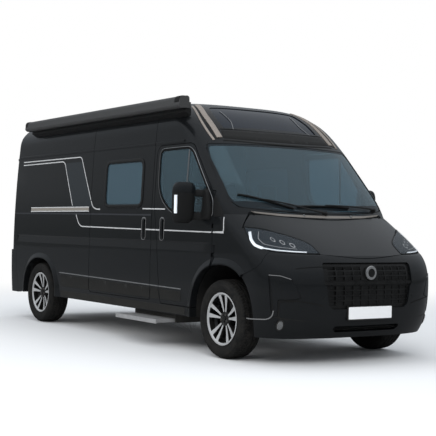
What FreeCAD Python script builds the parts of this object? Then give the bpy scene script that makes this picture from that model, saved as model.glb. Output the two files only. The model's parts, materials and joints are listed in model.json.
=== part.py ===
import FreeCAD, Part
import math
import os

# Camper van on a long panel-van chassis. X points forward, Y to the vehicle's left,
# Z up; the origin is on the ground midway between the bumpers.

V = FreeCAD.Vector
doc = FreeCAD.newDocument("camper_van")
sheet = doc.addObject("Spreadsheet::Sheet", "Dimensions")

SIZES = {
    # overall
    "overall_length": 5998, "side_half": 1008, "roof_height": 2520, "lip_height": 245,
    "front_overhang": 948, "wheelbase": 4035,
    # envelope of the body
    "waist_height": 800, "sill_height": 345, "sill_tuck": 16, "roof_tuck": 80,
    "cant_height": 2240, "cant_inset": 330, "nose_peak": 640, "chin_tuck": 105,
    "edge_height": 985, "edge_setback": 99, "cowl_height": 1345, "cowl_setback": 689,
    "header_height": 2060, "header_setback": 1359, "cap_bend_setback": 1849,
    "cap_end_setback": 2149, "bonnet_crown": 18, "screen_crown": 12,
    "bonnet_tip": 1227, "bonnet_tip_fall": 48, "bonnet_edge_half": 780, "tip_wall_half": 880,
    "nose_corner": 550, "edge_corner": 530, "cowl_corner": 400, "pillar_corner": 310,
    "tail_corner": 160, "tail_gap": 50, "tail_lean": 45, "tail_round": 130,
    # panel thicknesses and gaps
    "wall": 50, "flange_inset": 24, "bonnet_wall": 20, "bumper_wall": 45,
    "glass_inset": 5, "glass_wall": 6, "panel_gap": 7, "lamp_gap": 3, "seat_gap": 0.3,
    # mouldings of the flank
    "gutter_base": 2056, "gutter_height": 40, "gutter_stand": 8,
    "crease_base": 985, "crease_height": 92, "crease_depth": 6.5,
    # door handles
    "handle_middle": 1195, "handle_length": 236, "handle_width": 84, "handle_depth": 16,
    "handle_stand": 9, "grip_width": 30, "handle_setback": 82,
    # grille and bumper forms
    "grille_inset": 14, "grille_wall": 14, "cell_width": 84, "cell_height": 34,
    "cell_depth": 7, "cell_rib": 12, "bar_level": 741, "bar_height": 26,
    "badge_level": 833, "badge_radius": 60, "panel_recess": 5, "fog_radius": 46,
    "fog_depth": 14, "intake_height": 56, "intake_base": 300, "intake_half": 430,
    # seams of the body
    "roof_seam": 2099, "cab_door_front": 1131, "cab_door_length": 1082,
    "door_bottom": 440, "door_top": 2045, "belt_height": 1435, "pillar_width": 56,
    "slide_door_length": 1380, "slide_door_top": 2375,
    # windows
    "window_length": 830, "window_height": 492, "window_base": 1428, "window_corner": 60,
    "window_from_door": 205,
    # rear doors
    "hinge_strip": 47, "rear_door_half": 868, "rear_door_base": 560, "rear_door_top": 2235,
    "rear_glass_width": 560, "rear_glass_height": 560, "rear_glass_base": 1330,
    # wheels and axles
    "tyre_radius": 369, "tyre_width": 245, "rim_radius": 235, "rim_width": 205,
    "track": 1790, "front_arch_half": 505, "front_arch_rise": 505,
    "rear_arch_half": 462, "rear_arch_rise": 428, "flare_spread": 125, "flare_stand": 17,
    "disc_radius": 150, "disc_width": 26,
    "kingpin_inset": 118, "king_radius": 14, "stub_radius": 30,
    # hinges
    "pin_radius": 6, "pin_fit": 0.3, "cab_hinge_low": 960, "cab_hinge_high": 1235,
    "knuckle_rise": 22, "flare_sweep": 64, "flare_sweep_rise": 615, "flare_sweep_deep": 22,
    "flange_fit": 0.3,
    "bonnet_pin_height": 1343, "rear_hinge_low": 720, "rear_hinge_mid": 1450,
    "rear_hinge_high": 2080,
    # outside equipment
    "mirror_reach": 1287, "awning_reach": 1080, "awning_base": 2392,
    "step_base": 255, "step_reach": 1150,
    # floor and chassis
    "floor_top": 530, "floor_thick": 45, "rail_height": 120, "rail_width": 60,
    "rail_spacing": 980,
}

for row, (alias, value) in enumerate(SIZES.items(), start=1):
    sheet.set("A%d" % row, alias)
    sheet.set("B%d" % row, str(value))
    sheet.setAlias("B%d" % row, alias)
doc.recompute()


def mm(alias):
    """Value of one named size from the sheet."""
    return float(sheet.get(alias))


front_x = mm("overall_length") / 2
tail_x = -front_x + mm("tail_gap")
front_axle = front_x - mm("front_overhang")
rear_axle = front_axle - mm("wheelbase")
wall = mm("wall")
gap = mm("panel_gap")


def blend(value, stops):
    """Straight-line interpolation through (position, level) stops."""
    if value <= stops[0][0]:
        return stops[0][1]
    for (low, start), (high, end) in zip(stops, stops[1:]):
        if value <= high:
            return start + (end - start) * (value - low) / (high - low)
    return stops[-1][1]


class Envelope:
    """Outer skin of the body, moved inwards by an inset."""

    def __init__(self, inset=0.0, tail=None):
        self.inset = inset
        self.base = mm("lip_height")
        self.roof = mm("roof_height") - inset
        self.front = front_x - 1.5 * inset
        self.tail = (tail_x if tail is None else tail) + inset
        self.marks = self.spacing()

    def turn(self, z):
        """Angle of the rounded roof edge at a height, zero below the cant rail."""
        rise = (z - mm("cant_height")) / (self.roof - mm("cant_height"))
        return math.asin(min(max(rise, 0.0), 1.0))

    def half_width(self, z):
        waist = mm("waist_height")
        if z < waist:
            tuck = mm("sill_tuck") * ((waist - z) / (waist - mm("sill_height"))) ** 2
        else:
            tuck = mm("roof_tuck") * ((z - waist) / (mm("roof_height") - waist)) ** 2
        edge = mm("cant_inset") * (1 - math.cos(self.turn(z)))
        return mm("side_half") - self.inset - tuck - edge

    def nose(self, z):
        """Centre-line x of the front at a height."""
        peak, edge, cowl = mm("nose_peak"), mm("edge_height"), mm("cowl_height")
        header = mm("header_height")
        edge_x = self.front - mm("edge_setback")
        cowl_x = self.front - mm("cowl_setback")
        header_x = self.front - mm("header_setback")
        if z < peak:
            drop = (peak - z) / (peak - mm("lip_height"))
            return self.front - mm("chin_tuck") * drop ** 2.5
        if z < edge:
            return self.front - mm("edge_setback") * ((z - peak) / (edge - peak)) ** 3.5
        if z < cowl:
            part = (z - edge) / (cowl - edge)
            crown = mm("bonnet_crown") * 4 * part * (1 - part)
            return edge_x + (cowl_x - edge_x) * part + crown
        if z < header:
            part = (z - cowl) / (header - cowl)
            crown = mm("screen_crown") * 4 * part * (1 - part)
            return cowl_x + (header_x - cowl_x) * part + crown
        bend_x = self.front - mm("cap_bend_setback")
        end_x = self.front - mm("cap_end_setback")
        part = 1 - math.sqrt(max(0.0, (self.roof - z) / (self.roof - header)))
        return ((1 - part) ** 2 * header_x + 2 * part * (1 - part) * bend_x
                + part ** 2 * end_x)

    def corner(self, z):
        """How far back the front corner of the plan reaches at a height."""
        return blend(z, [(mm("lip_height"), mm("nose_corner")),
                         (mm("edge_height"), mm("edge_corner")),
                         (mm("cowl_height"), mm("cowl_corner")),
                         (mm("cowl_height") + 155, mm("pillar_corner")),
                         (mm("roof_height"), mm("pillar_corner"))])

    def rear(self, z):
        lean = max(0.0, (z - mm("waist_height")) / (mm("cant_height") - mm("waist_height")))
        lean = mm("tail_lean") * min(lean, 1.0) ** 2
        return self.tail + lean + mm("tail_round") * (1 - math.cos(self.turn(z)))

    def loops(self, z):
        """Points of the plan section at a height: the nose loop, then the tail loop."""
        half = self.half_width(z)
        loops = []
        for end, depth, power, sign in ((self.nose(z), self.corner(z), 3.0, 1),
                                        (self.rear(z), mm("tail_corner"), 4.0, -1)):
            ring = []
            for step in range(-12, 13):
                angle = math.radians(step * 7.5)
                s, c = abs(math.sin(angle)), max(math.cos(angle), 0.0)
                size = (s ** power + c ** power) ** (1 / power)
                y = math.copysign(half * s / size, step)
                ring.append(V(end - sign * depth * (1 - c / size), y, z))
            side = [V(ring[0].x * part, -half, z) for part in (0.0, 0.3, 0.6, 0.85)]
            points = side + ring + [V(p.x, half, z) for p in reversed(side)]
            loops.append(points if sign > 0 else points[::-1])
        return loops

    def plan(self, z):
        """Closed wire of the plan section at a height."""
        edges = []
        for points, marks, way in zip(self.loops(z), self.marks, (1, -1)):
            curve = Part.BSplineCurve()
            curve.interpolate(Points=points, Parameters=marks,
                              InitialTangent=V(way, 0, 0), FinalTangent=V(-way, 0, 0))
            edges.append(curve.toShape())
        return Part.Wire(edges)

    def spacing(self):
        """Curve parameters by distance at the waist, shared by all sections."""
        marks = []
        for points in self.loops(mm("waist_height")):
            run = [0.0]
            for a, b in zip(points, points[1:]):
                run.append(run[-1] + a.distanceToPoint(b))
            marks.append([r / run[-1] for r in run])
        return marks

    def solid(self):
        """The closed body, lofted band by band between the kinks of its profile."""
        steps = [0, 15, 30, 45, 60, 75, 90]
        cant = mm("cant_height")
        dome = [cant + (self.roof - cant) * math.sin(math.radians(a)) for a in steps]
        bands = [self.spread(self.base, mm("edge_height"), 5),
                 self.spread(mm("edge_height"), mm("cowl_height"), 4),
                 self.spread(mm("cowl_height"), mm("header_height"), 5),
                 self.spread(mm("header_height"), cant, 3)[:-1] + dome]
        body = None
        for heights in bands:
            piece = Part.makeLoft([self.plan(z) for z in heights], True, False)
            body = piece if body is None else body.fuse(piece)
        return body

    @staticmethod
    def spread(low, high, count):
        return [low + (high - low) * k / (count - 1) for k in range(count)]


PLANES = {"xz": lambda a, b: V(a, 0, b), "yz": lambda a, b: V(0, a, b),
          "xy": lambda a, b: V(a, b, 0)}
REACH = {"xz": V(0, 1, 0), "yz": V(1, 0, 0), "xy": V(0, 0, 1)}


def outline(points, plane):
    """Closed wire through (a, b, radius) corners, each rounded by its radius."""
    corners = [(V(p[0], p[1], 0), p[2] if len(p) > 2 else 0.0) for p in points]
    edges = []
    last = None
    first = None
    for index, (corner, radius) in enumerate(corners):
        back = (corners[index - 1][0] - corner).normalize()
        ahead = (corners[(index + 1) % len(corners)][0] - corner).normalize()
        if radius > 0:
            half = math.acos(max(-1.0, min(1.0, back.dot(ahead)))) / 2
            run = radius / math.tan(half)
            centre = corner + (back + ahead).normalize() * (radius / math.sin(half))
            start, end = corner + back * run, corner + ahead * run
            middle = centre + (corner - centre).normalize() * radius
        else:
            start = end = corner
        if last is not None and (start - last).Length > 1e-6:
            edges.append(Part.LineSegment(last, start))
        if radius > 0:
            edges.append(Part.Arc(start, middle, end))
        first = start if first is None else first
        last = end
    if (first - last).Length > 1e-6:
        edges.append(Part.LineSegment(last, first))
    place = PLANES[plane]
    turned = []
    for edge in edges:
        shape = edge.toShape()
        ends = [shape.valueAt(shape.FirstParameter), shape.valueAt(shape.LastParameter)]
        ends = [place(p.x, p.y) for p in ends]
        if isinstance(edge, Part.LineSegment):
            turned.append(Part.LineSegment(*ends).toShape())
        else:
            mid = shape.valueAt((shape.FirstParameter + shape.LastParameter) / 2)
            turned.append(Part.Arc(ends[0], place(mid.x, mid.y), ends[1]).toShape())
    return Part.Wire(turned)


def prism(points, plane, low, high, grow=0.0):
    """Solid of an outline carried from one level to another, grown by a margin."""
    wire = outline(points, plane) if isinstance(points, (list, tuple)) else points
    if grow:
        wire = wire.makeOffset2D(grow)
    way = REACH[plane]
    face = Part.Face(wire)
    face.translate(way * low)
    return face.extrude(way * (high - low))


def brick(x0, x1, y0, y1, z0, z1):
    return Part.makeBox(x1 - x0, y1 - y0, z1 - z0, V(x0, y0, z0))


def arch_wire(x, z, half, rise, power=2.3, spread=0.0):
    """Closed wheel-arch outline: a rounded superellipse about the wheel centre."""
    points = []
    for step in range(24):
        angle = math.radians(step * 15)
        s, c = math.sin(angle), math.cos(angle)
        size = (abs(s) ** power + abs(c) ** power) ** (1 / power)
        points.append(V(x + (half + spread) * c / size, 0, z + (rise + spread) * s / size))
    curve = Part.BSplineCurve()
    curve.interpolate(Points=points, PeriodicFlag=True)
    return Part.Wire(curve.toShape())


def mirrored(shape):
    return shape.mirror(V(0, 0, 0), V(0, 1, 0))


def both(shape):
    """The shape and its mirror image across the centre plane."""
    return Part.makeCompound([shape, mirrored(shape)])


smallest_solid = 200.0


def node(label, shape, solids=None):
    """One named sub-part with its finished shape."""
    pieces = [s for s in shape.Solids if s.Volume > smallest_solid]
    shape = pieces[0] if len(pieces) == 1 else Part.makeCompound(pieces)
    if solids and len(pieces) != solids:
        raise SystemExit("%s has %d solids" % (label, len(pieces)))
    item = doc.addObject("Part::Feature", label)
    item.Label = label
    item.Shape = shape
    return item


wide = 1400.0
high = 3000.0

# Skin, flares and wheel arches
skin = Envelope(0).solid()
room = Envelope(wall).solid()
seat = Envelope(-mm("seat_gap")).solid()
shell = skin.cut(room)
arches = {}
flares = []
for name, x in (("front", front_axle - 11), ("rear", rear_axle)):
    half, rise = mm(name + "_arch_half"), mm(name + "_arch_rise")
    arches[name] = (x, mm("tyre_radius"), half, rise)
    outer_wire = arch_wire(*arches[name], spread=mm("flare_spread"))
    inner_wire = arch_wire(*arches[name], spread=12)
    root = mm("side_half") - 22
    tip = mm("side_half") + mm("flare_stand")
    outer_wire.translate(V(0, -root, 0))
    inner_wire.translate(V(0, -tip, 0))
    flares.append(Part.makeLoft([outer_wire, inner_wire], True, True))
flare_trim = brick(-high, high, -wide, wide, mm("sill_height"), high)
for flare in flares:
    flare = flare.common(flare_trim).cut(brick(front_axle + 380, high, -wide, wide, 0, high))
    shell = shell.fuse([flare, mirrored(flare)])
for name, depth in (("front", 560), ("rear", 735)):
    tunnel = prism(arch_wire(*arches[name]), "xz", -wide, -depth)
    shell = shell.cut([tunnel, mirrored(tunnel)])
shell = shell.cut(brick(-high, front_axle + 250, -wide, wide, 0, mm("sill_height")))
flank = Envelope(0)


def flank_section(rows, x):
    """Closed wire across the right flank through (outwards from the skin, z) corners."""
    points = [V(x, -flank.half_width(z) - out, z) for out, z in rows]
    return Part.makePolygon(points + points[:1])


def flank_strip(rows, stations):
    """Moulding along the right flank: rows are (outwards, z) and each station (x, scale)."""
    wires = [flank_section([(out * scale, z) for out, z in rows], x) for x, scale in stations]
    return Part.makeLoft(wires, True, True)


strip_rear, strip_front = tail_x + 205, front_x - 1169
gutter_low, gutter_top = mm("gutter_base"), mm("gutter_base") + mm("gutter_height")
stand = mm("gutter_stand")
gutter = flank_strip([(-12, gutter_low), (stand * 0.5, gutter_low + 4),
                      (stand, gutter_low + 14), (stand, gutter_top - 12),
                      (-12, gutter_top)], [(strip_rear, 1), (front_x - 1700, 1)])
crease_low, crease_top = mm("crease_base"), mm("crease_base") + mm("crease_height")
crease = [(-mm("crease_depth"), crease_top - 14), (0.02, crease_top), (12, crease_top + 2),
          (12, crease_low - 2), (0.02, crease_low)]
crease = Part.makeCompound([
    flank_strip(crease, [(strip_rear + 40, 1), (strip_front - 150, 1)]),
    flank_strip(crease, [(strip_front - 150, 1), (strip_front, 0.03)])])
shell = shell.fuse([gutter, mirrored(gutter)]).cut([crease, mirrored(crease)])

# Seams, all measured back from the front end
hinge_x = front_x - mm("cab_door_front")
hinge_knuckle = 28
hinge_y = mm("side_half") - hinge_knuckle - 3
door_rear = hinge_x + hinge_knuckle - mm("cab_door_length") - 28
slide_front = door_rear - mm("pillar_width")
slide_rear = slide_front - mm("slide_door_length")
split_x = (door_rear + slide_front) / 2
pillar_slope = 0.84
sill_x = front_x - 939

cab_outline = [(door_rear + 150, mm("door_bottom"), 40), (door_rear + 69, 1073, 200),
               (door_rear, mm("belt_height"), 400), (door_rear, mm("door_top"), 90),
               (sill_x - (mm("door_top") - 1320) * pillar_slope, mm("door_top"), 120),
               (hinge_x, 1320 + (sill_x - hinge_x) / pillar_slope, 0),
               (hinge_x, mm("door_bottom"), 0)]
slide_outline = [(slide_rear, mm("door_bottom") + 20, 40), (slide_rear, mm("slide_door_top"), 40),
                 (slide_front, mm("slide_door_top"), 40), (slide_front, mm("door_bottom") + 20, 40)]
cab_prism = prism(cab_outline, "xz", -wide, -500)
cab_cut = prism(cab_outline, "xz", -wide, -500, gap)
slide_prism = prism(slide_outline, "xz", -wide, -500)
slide_cut = prism(slide_outline, "xz", -wide, -500, gap)
knuckle_low = mm("door_bottom")
knuckle_high = 1320 + (sill_x - hinge_x) / pillar_slope + mm("knuckle_rise")
hinge_disc = Part.makeCylinder(hinge_knuckle, knuckle_high - knuckle_low - gap,
                               V(hinge_x, -hinge_y, knuckle_low))
hinge_room = Part.makeCylinder(hinge_knuckle + gap, knuckle_high - knuckle_low + gap,
                               V(hinge_x, -hinge_y, knuckle_low - gap))

# Windows of the cab door and of the body
glass_outline = [(door_rear + 60, 1990 + 12, 60), (door_rear + 60, 1560, 160),
                 (door_rear + 330, 1352, 260), (hinge_x - 12, 1340, 20),
                 (hinge_x - 12, 1475, 40), (sill_x - 45 - (2002 - 1320) * pillar_slope, 2002, 90)]
window_rear = slide_rear + mm("window_from_door") + 135
window_outline = [(window_rear, mm("window_base"), mm("window_corner")),
                  (window_rear + mm("window_length"), mm("window_base"), mm("window_corner")),
                  (window_rear + mm("window_length"), mm("window_base") + mm("window_height"),
                   mm("window_corner")),
                  (window_rear, mm("window_base") + mm("window_height"), mm("window_corner"))]
bed_window = [(x - 1900, z, r) for x, z, r in window_outline]
screen_outline = [(-928, 1417, 60), (-470, 1366, 900), (470, 1366, 900), (928, 1417, 60),
                  (896, 2042, 60), (0, 2066, 3000), (-896, 2042, 60)]
roof_glass_outline = [(front_x - 1936, -542, 60), (front_x - 1562, -630, 60),
                      (front_x - 1562, 630, 60), (front_x - 1936, 542, 60)]


def glazing(points, plane, low, high_level):
    """Glass pane seated in its opening."""
    pane = prism(points, plane, low, high_level, -mm("seat_gap"))
    return pane.common(glass_sheet)


glass_sheet = Envelope(mm("glass_inset")).solid().cut(
    Envelope(mm("glass_inset") + mm("glass_wall")).solid())
door_glass = glazing(glass_outline, "xz", -wide, -500)
screen_glass = glazing(screen_outline, "yz", 1300, 2700)
roof_glass = glazing(roof_glass_outline, "xy", 2100, 2700)
slide_glass = glazing(window_outline, "xz", -wide, -500)
left_glass = [glazing(window_outline, "xz", 500, wide), glazing(bed_window, "xz", 500, wide)]
window_cuts = [prism(glass_outline, "xz", -wide, -500), prism(glass_outline, "xz", 500, wide),
               prism(screen_outline, "yz", 1300, 2700),
               prism(roof_glass_outline, "xy", 2100, 2700),
               prism(window_outline, "xz", -wide, -500),
               prism(window_outline, "xz", 500, wide), prism(bed_window, "xz", 500, wide)]
pierced = shell.cut(window_cuts)

# Doors
cab_door = pierced.common(cab_prism).fuse(pierced.common(hinge_disc))


def handle(door, x):
    """Upright pull: a pocket in the door's skin, bridged by a bowed grip."""
    z, half = mm("handle_middle"), mm("handle_length") / 2
    face = flank.half_width(z)
    reach = mm("handle_width") / 2
    pocket = [(x - reach, z - half, reach - 2), (x + reach, z - half, reach - 2),
              (x + reach, z + half, reach - 2), (x - reach, z + half, reach - 2)]
    door = door.cut(prism(pocket, "xz", -wide, -face + mm("handle_depth")))
    deep, grip = -face + mm("handle_depth"), mm("grip_width") / 2
    proud = -face - mm("handle_stand")
    bow = [(deep + 1, z - half + 3, 0), (proud + 8, z - half + 3, 0), (proud, z - half + 40, 60),
           (proud, z + half - 40, 60), (proud + 8, z + half - 3, 0), (deep + 1, z + half - 3, 0),
           (deep + 1, z + half - 34, 6), (proud + 13, z + half - 44, 10),
           (proud + 13, z - half + 44, 10), (deep + 1, z - half + 34, 6)]
    return door.fuse(prism(bow, "yz", x - grip, x + grip))


cab_door = handle(cab_door, door_rear + mm("handle_setback") + 82)
flange = shell.common(Envelope(mm("flange_inset")).solid())
slide_flange = flange.common(prism(slide_outline, "xz", -wide, -500, gap - mm("seat_gap")))
slide_door = pierced.common(slide_prism).fuse(slide_flange.cut(window_cuts[4]))
slide_door = handle(slide_door, slide_front - mm("handle_setback") - 71)

# Nose: bonnet, lamps and bumper meet along one curve seen from above
lamp_tip = V(front_x - 138, -497, 0)
lamp_mid = V(front_x - 437, -693, 0)
lamp_tail = V(front_x - 682, -965, 0)
bonnet_rear = V(front_x - 777, -816, 0)
bonnet_back = V(front_x - 619, 0, 0)
bonnet_nose = V(front_x - 81, 0, 0)


def flip(p):
    return V(p.x, -p.y, p.z)


def bonnet_line(back=0.0):
    """Outline of the bonnet seen from above, its rear edge moved back by a margin."""
    rear = bonnet_rear - V(back, 0, 0)
    return Part.Wire([
        Part.Arc(rear, bonnet_back - V(back, 0, 0), flip(rear)).toShape(),
        Part.LineSegment(flip(rear), flip(lamp_tail)).toShape(),
        Part.Arc(flip(lamp_tail), flip(lamp_mid), flip(lamp_tip)).toShape(),
        Part.Arc(flip(lamp_tip), bonnet_nose, lamp_tip).toShape(),
        Part.Arc(lamp_tip, lamp_mid, lamp_tail).toShape(),
        Part.LineSegment(lamp_tail, rear).toShape()])


bonnet_base = 945


def under_tip(half, drop=0.0):
    """Room under the side tips of the bonnet, outside a half width; its top falls forward."""
    top = mm("bonnet_tip") - drop
    line = [(bonnet_rear.x, 0), (lamp_mid.x, 0), (lamp_mid.x, top - mm("bonnet_tip_fall")),
            (bonnet_rear.x + 78, top), (bonnet_rear.x, top)]
    room = prism(line, "xz", -wide, -half)
    return [room, mirrored(room)]


bonnet_zone = prism(bonnet_line(), "xy", bonnet_base, 1500).cut(under_tip(mm("bonnet_edge_half")))
bonnet_cut = prism(bonnet_line(14), "xy", bonnet_base - gap, 1500, gap)
bonnet_cut = bonnet_cut.cut(under_tip(mm("tip_wall_half"), gap))
bonnet_skin = skin.cut(Envelope(mm("bonnet_wall")).solid())
bonnet = bonnet_skin.common(bonnet_zone)
lamp_line = [(front_x - 689, 1262), (front_x - 537, 1108), (front_x - 329, 1022),
             (front_x - 138, 998), (front_x + 100, 985)]
lamp_points = lamp_line + [(front_x + 100, 1262)]
bumper_points = [(front_x - 620, 792), (front_x - 418, 862), (front_x - 356, 918),
                 (front_x - 329, 1015), (front_x - 138, 991), (front_x + 100, 978),
                 (front_x + 100, 100), (front_x - 620, 100)]
lamp_zone = prism(lamp_points, "xz", -wide, wide)
lamp_cut = prism(lamp_points, "xz", -wide, wide, mm("lamp_gap"))
bumper_zone = prism(bumper_points, "xz", -wide, wide)
bumper_cut = prism(bumper_points, "xz", -wide, wide, mm("lamp_gap"))
flange_reach = mm("lamp_gap") - mm("flange_fit")
lamp_flange = flange.common(prism(lamp_points, "xz", -wide, wide, flange_reach))
lamps = shell.common(lamp_zone).fuse(lamp_flange).cut(bonnet_cut)
bumper_skin = skin.cut(Envelope(mm("bumper_wall")).solid())
front_tunnel = prism(arch_wire(*arches["front"]), "xz", -wide, -560)
bumper_skin = bumper_skin.cut([front_tunnel, mirrored(front_tunnel)])
bumper_flange = bumper_skin.common(Envelope(mm("flange_inset")).solid())
bumper_flange = bumper_flange.common(prism(bumper_points, "xz", -wide, wide, flange_reach))
bumper = bumper_skin.common(bumper_zone).fuse(bumper_flange).cut([lamp_cut, bonnet_cut])
grille_outline = [(-529, 925, 30), (-529, 741, 10), (-500, 700, 60), (-478, 545, 60),
                  (-430, 510, 40), (430, 510, 40), (478, 545, 60), (500, 700, 60),
                  (529, 741, 10), (529, 925, 30)]
grille_hole = prism(grille_outline, "yz", 2500, 3200)
bumper = bumper.cut(grille_hole)


def front_layer(outer, inner, low, top, half):
    """Curved layer of the front between two insets, inside a box across the nose."""
    window = brick(front_axle + 300, high, -half, half, low, top)
    return Envelope(outer).solid().common(window).cut(Envelope(inner).solid())


# Diagonal view of the bumper's corner: along runs across it and out points away
diagonal = FreeCAD.Placement(V(0, 0, 0), FreeCAD.Rotation(V(0, 0, 1), -45))


def corner_prism(points, low, high_level):
    """Solid of an (along, z) outline carried outwards over the right-hand front corner."""
    solid = prism(points, "yz", low, high_level)
    solid.Placement = diagonal.multiply(solid.Placement)
    return solid


blank_outline = [(1242, 811, 12), (1350, 806, 60), (1445, 777, 60), (1500, 700, 60),
                 (1533, 606, 12), (1328, 591, 8), (1323, 440, 8), (1273, 445, 8)]
recess_layer = skin.cut(Envelope(mm("panel_recess")).solid())
blank = recess_layer.common(corner_prism(blank_outline, 2000, 3000))
fog_spot = V(front_x - 209, -885, 369)
fog_way = V(1, -1, 0).normalize()
fog_room = Part.makeCylinder(mm("fog_radius"), 200, fog_spot - fog_way * mm("fog_depth"), fog_way)
intake_low, intake_half = mm("intake_base"), mm("intake_half")
intake = prism([(-intake_half, intake_low + mm("intake_height"), 20),
                (-intake_half + 70, intake_low, 20), (intake_half - 70, intake_low, 20),
                (intake_half, intake_low + mm("intake_height"), 20)], "yz", 2500, high)
intake = intake.cut(Envelope(mm("bumper_wall") - 14).solid())
bumper = bumper.cut([blank, mirrored(blank), fog_room, mirrored(fog_room), intake])

# Grille: a curved plate with rows of closed cells, a bar across and a plain badge
inset = mm("grille_inset")
grille = front_layer(inset, inset + mm("grille_wall"), 480, 960, 600)
grille = grille.common(prism(grille_outline, "yz", 2500, 3200, -mm("seat_gap")))
cell_pitch = mm("cell_width") + mm("cell_rib")
row_pitch = mm("cell_height") + mm("cell_rib")
bar_low = mm("bar_level") - mm("bar_height") / 2
bar_top = bar_low + mm("bar_height")
bar = front_layer(inset - 9, inset + 3, bar_low, bar_top, 600)
grille = grille.fuse(bar.common(prism(grille_outline, "yz", 2500, 3200, -mm("seat_gap"))))


def front_at(y, z):
    """X of the skin at a width and a height of the nose."""
    part = min(abs(y) / flank.half_width(z), 1.0)
    return flank.nose(z) - flank.corner(z) * (1 - (1 - part ** 3) ** (1 / 3))


cells = []
for row_base, rows in ((bar_low - 4 * row_pitch, 4), (bar_top + mm("cell_rib"), 3)):
    for row in range(rows):
        z = row_base + row * row_pitch
        for column in range(10):
            y = (column - 5) * cell_pitch + mm("cell_rib") / 2
            reach = max(abs(y), abs(y + mm("cell_width")))
            near = math.hypot(reach - mm("cell_width") / 2, z + mm("cell_height") / 2
                              - mm("badge_level"))
            if reach < blend(z, [(540, 480), (690, 500), (741, 510)]) and near > 105:
                floor_x = front_at(reach, z + mm("cell_height") / 2) - 1.5 * inset
                cells.append(brick(floor_x - mm("cell_depth"), 3200, y, y + mm("cell_width"), z,
                                   z + mm("cell_height")))
grille = grille.cut(cells)
badge_x = flank.nose(mm("badge_level")) - inset - mm("grille_wall") / 2
badge = Part.makeCone(mm("badge_radius") + 3, mm("badge_radius"), front_x - badge_x,
                      V(badge_x, 0, mm("badge_level")), V(1, 0, 0))
grille = grille.fuse(badge)

# Tail: two doors, corner lamps and a bumper
door_half = mm("rear_door_half")
rear_outline = [(gap / 2, mm("rear_door_base"), 8), (door_half, mm("rear_door_base"), 60),
                (door_half, mm("rear_door_top"), 90), (gap / 2, mm("rear_door_top"), 8)]
rear_glass_y = door_half / 2 + 10
rear_glass_outline = [
    (rear_glass_y + sy * mm("rear_glass_width") / 2,
     mm("rear_glass_base") + sz * mm("rear_glass_height"), 50)
    for sy, sz in ((-1, 0), (1, 0), (1, 1), (-1, 1))]
tail_zone = tail_x + 170
rear_door = shell.common(prism(rear_outline, "yz", -high, tail_zone))
rear_door = rear_door.cut(prism(rear_glass_outline, "yz", -high, tail_zone))
rear_glass = prism(rear_glass_outline, "yz", -high, tail_zone, -mm("seat_gap")).common(glass_sheet)
rear_opening = prism([(-door_half - gap, mm("rear_door_base") - gap, 60),
                      (door_half + gap, mm("rear_door_base") - gap, 60),
                      (door_half + gap, mm("rear_door_top") + gap, 90),
                      (-door_half - gap, mm("rear_door_top") + gap, 90)],
                     "yz", -high, tail_zone + 60)
lamp_box = brick(-high, tail_x + 125, -wide, -door_half - mm("hinge_strip"), 889, 1389)
tail_lamps = both(shell.common(lamp_box))
bumper_env = Envelope(0, tail=-front_x).solid().cut(room).cut(brick(-high, high, -wide, wide, 0, 330))
rear_low = brick(-high, rear_axle - mm("rear_arch_half") - 245, -wide, wide, 100,
                 mm("rear_door_base") - gap)
rear_corner = brick(-high, rear_axle - mm("rear_arch_half") - 290, -wide,
                    -door_half - mm("hinge_strip"), mm("rear_door_base") - gap - 1, 880)
rear_zone = rear_low.fuse([rear_corner, mirrored(rear_corner)])
rear_bumper = bumper_env.common(rear_zone)
rear_room = Part.makeCompound([
    brick(-high, rear_axle - mm("rear_arch_half") - 242, -wide, wide, 100,
          mm("rear_door_base") - gap + 3)])
rear_corner_room = brick(-high, rear_axle - mm("rear_arch_half") - 287, -wide,
                         -door_half - mm("hinge_strip") + 3, mm("rear_door_base") - gap - 1,
                         883)

# Fixed body panels
fixed = pierced.cut([cab_cut, mirrored(cab_cut), hinge_room, mirrored(hinge_room), slide_cut,
                     rear_opening, bonnet_cut])
fixed = fixed.cut([lamp_cut, bumper_cut, rear_room, rear_corner_room,
                   mirrored(rear_corner_room)])
fixed = fixed.cut([lamp_box, mirrored(lamp_box)])
flare_room = Part.makeCylinder(mm("flare_sweep"), mm("flare_sweep_rise"),
                               V(hinge_x, -hinge_y, mm("door_bottom")))
flare_room = flare_room.common(brick(0, high, -wide, -mm("side_half") + mm("flare_sweep_deep"),
                                     0, high))
fixed = fixed.cut([flare_room, mirrored(flare_room)])
roof_box = brick(-high, high, -wide, wide, mm("roof_seam"), high)
side_box = brick(-high, split_x, -wide, 0, 0, mm("roof_seam"))
nose_box = brick(split_x, high, -wide, wide, 0, mm("roof_seam"))
# Hinges. Cab doors turn on pins set just inside the skin; a plate of the body
# holds each pin in a slot of the door
def rod(radius, start, way):
    return Part.makeCylinder(radius, way.Length, start, way)


pin = mm("pin_radius")
fit = mm("pin_fit")
hinge_levels = (mm("cab_hinge_low"), mm("cab_hinge_high"))
slot_half = 20
plates = []
for level in hinge_levels:
    sweep = []
    for turn in range(0, 66, 13):
        blade = brick(hinge_x, hinge_x + 42, -hinge_y - 17, -hinge_y + 17, level - slot_half,
                      level + slot_half)
        blade.rotate(V(hinge_x, -hinge_y, 0), V(0, 0, 1), -turn)
        sweep.append(blade)
    slot = rod(18, V(hinge_x, -hinge_y, level - slot_half), V(0, 0, 2 * slot_half)).fuse(sweep)
    bore = rod(pin + fit, V(hinge_x, -hinge_y, level - 60), V(0, 0, 120))
    cab_door = cab_door.cut([slot, bore])
    plate = brick(hinge_x, hinge_x + 75, -hinge_y - 14, -hinge_y + 14, level - 15, level + 15)
    plate = plate.fuse(rod(14, V(hinge_x, -hinge_y, level - 15), V(0, 0, 30)))
    plates += [plate, rod(pin, V(hinge_x, -hinge_y, level - 55), V(0, 0, 110))]

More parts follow.
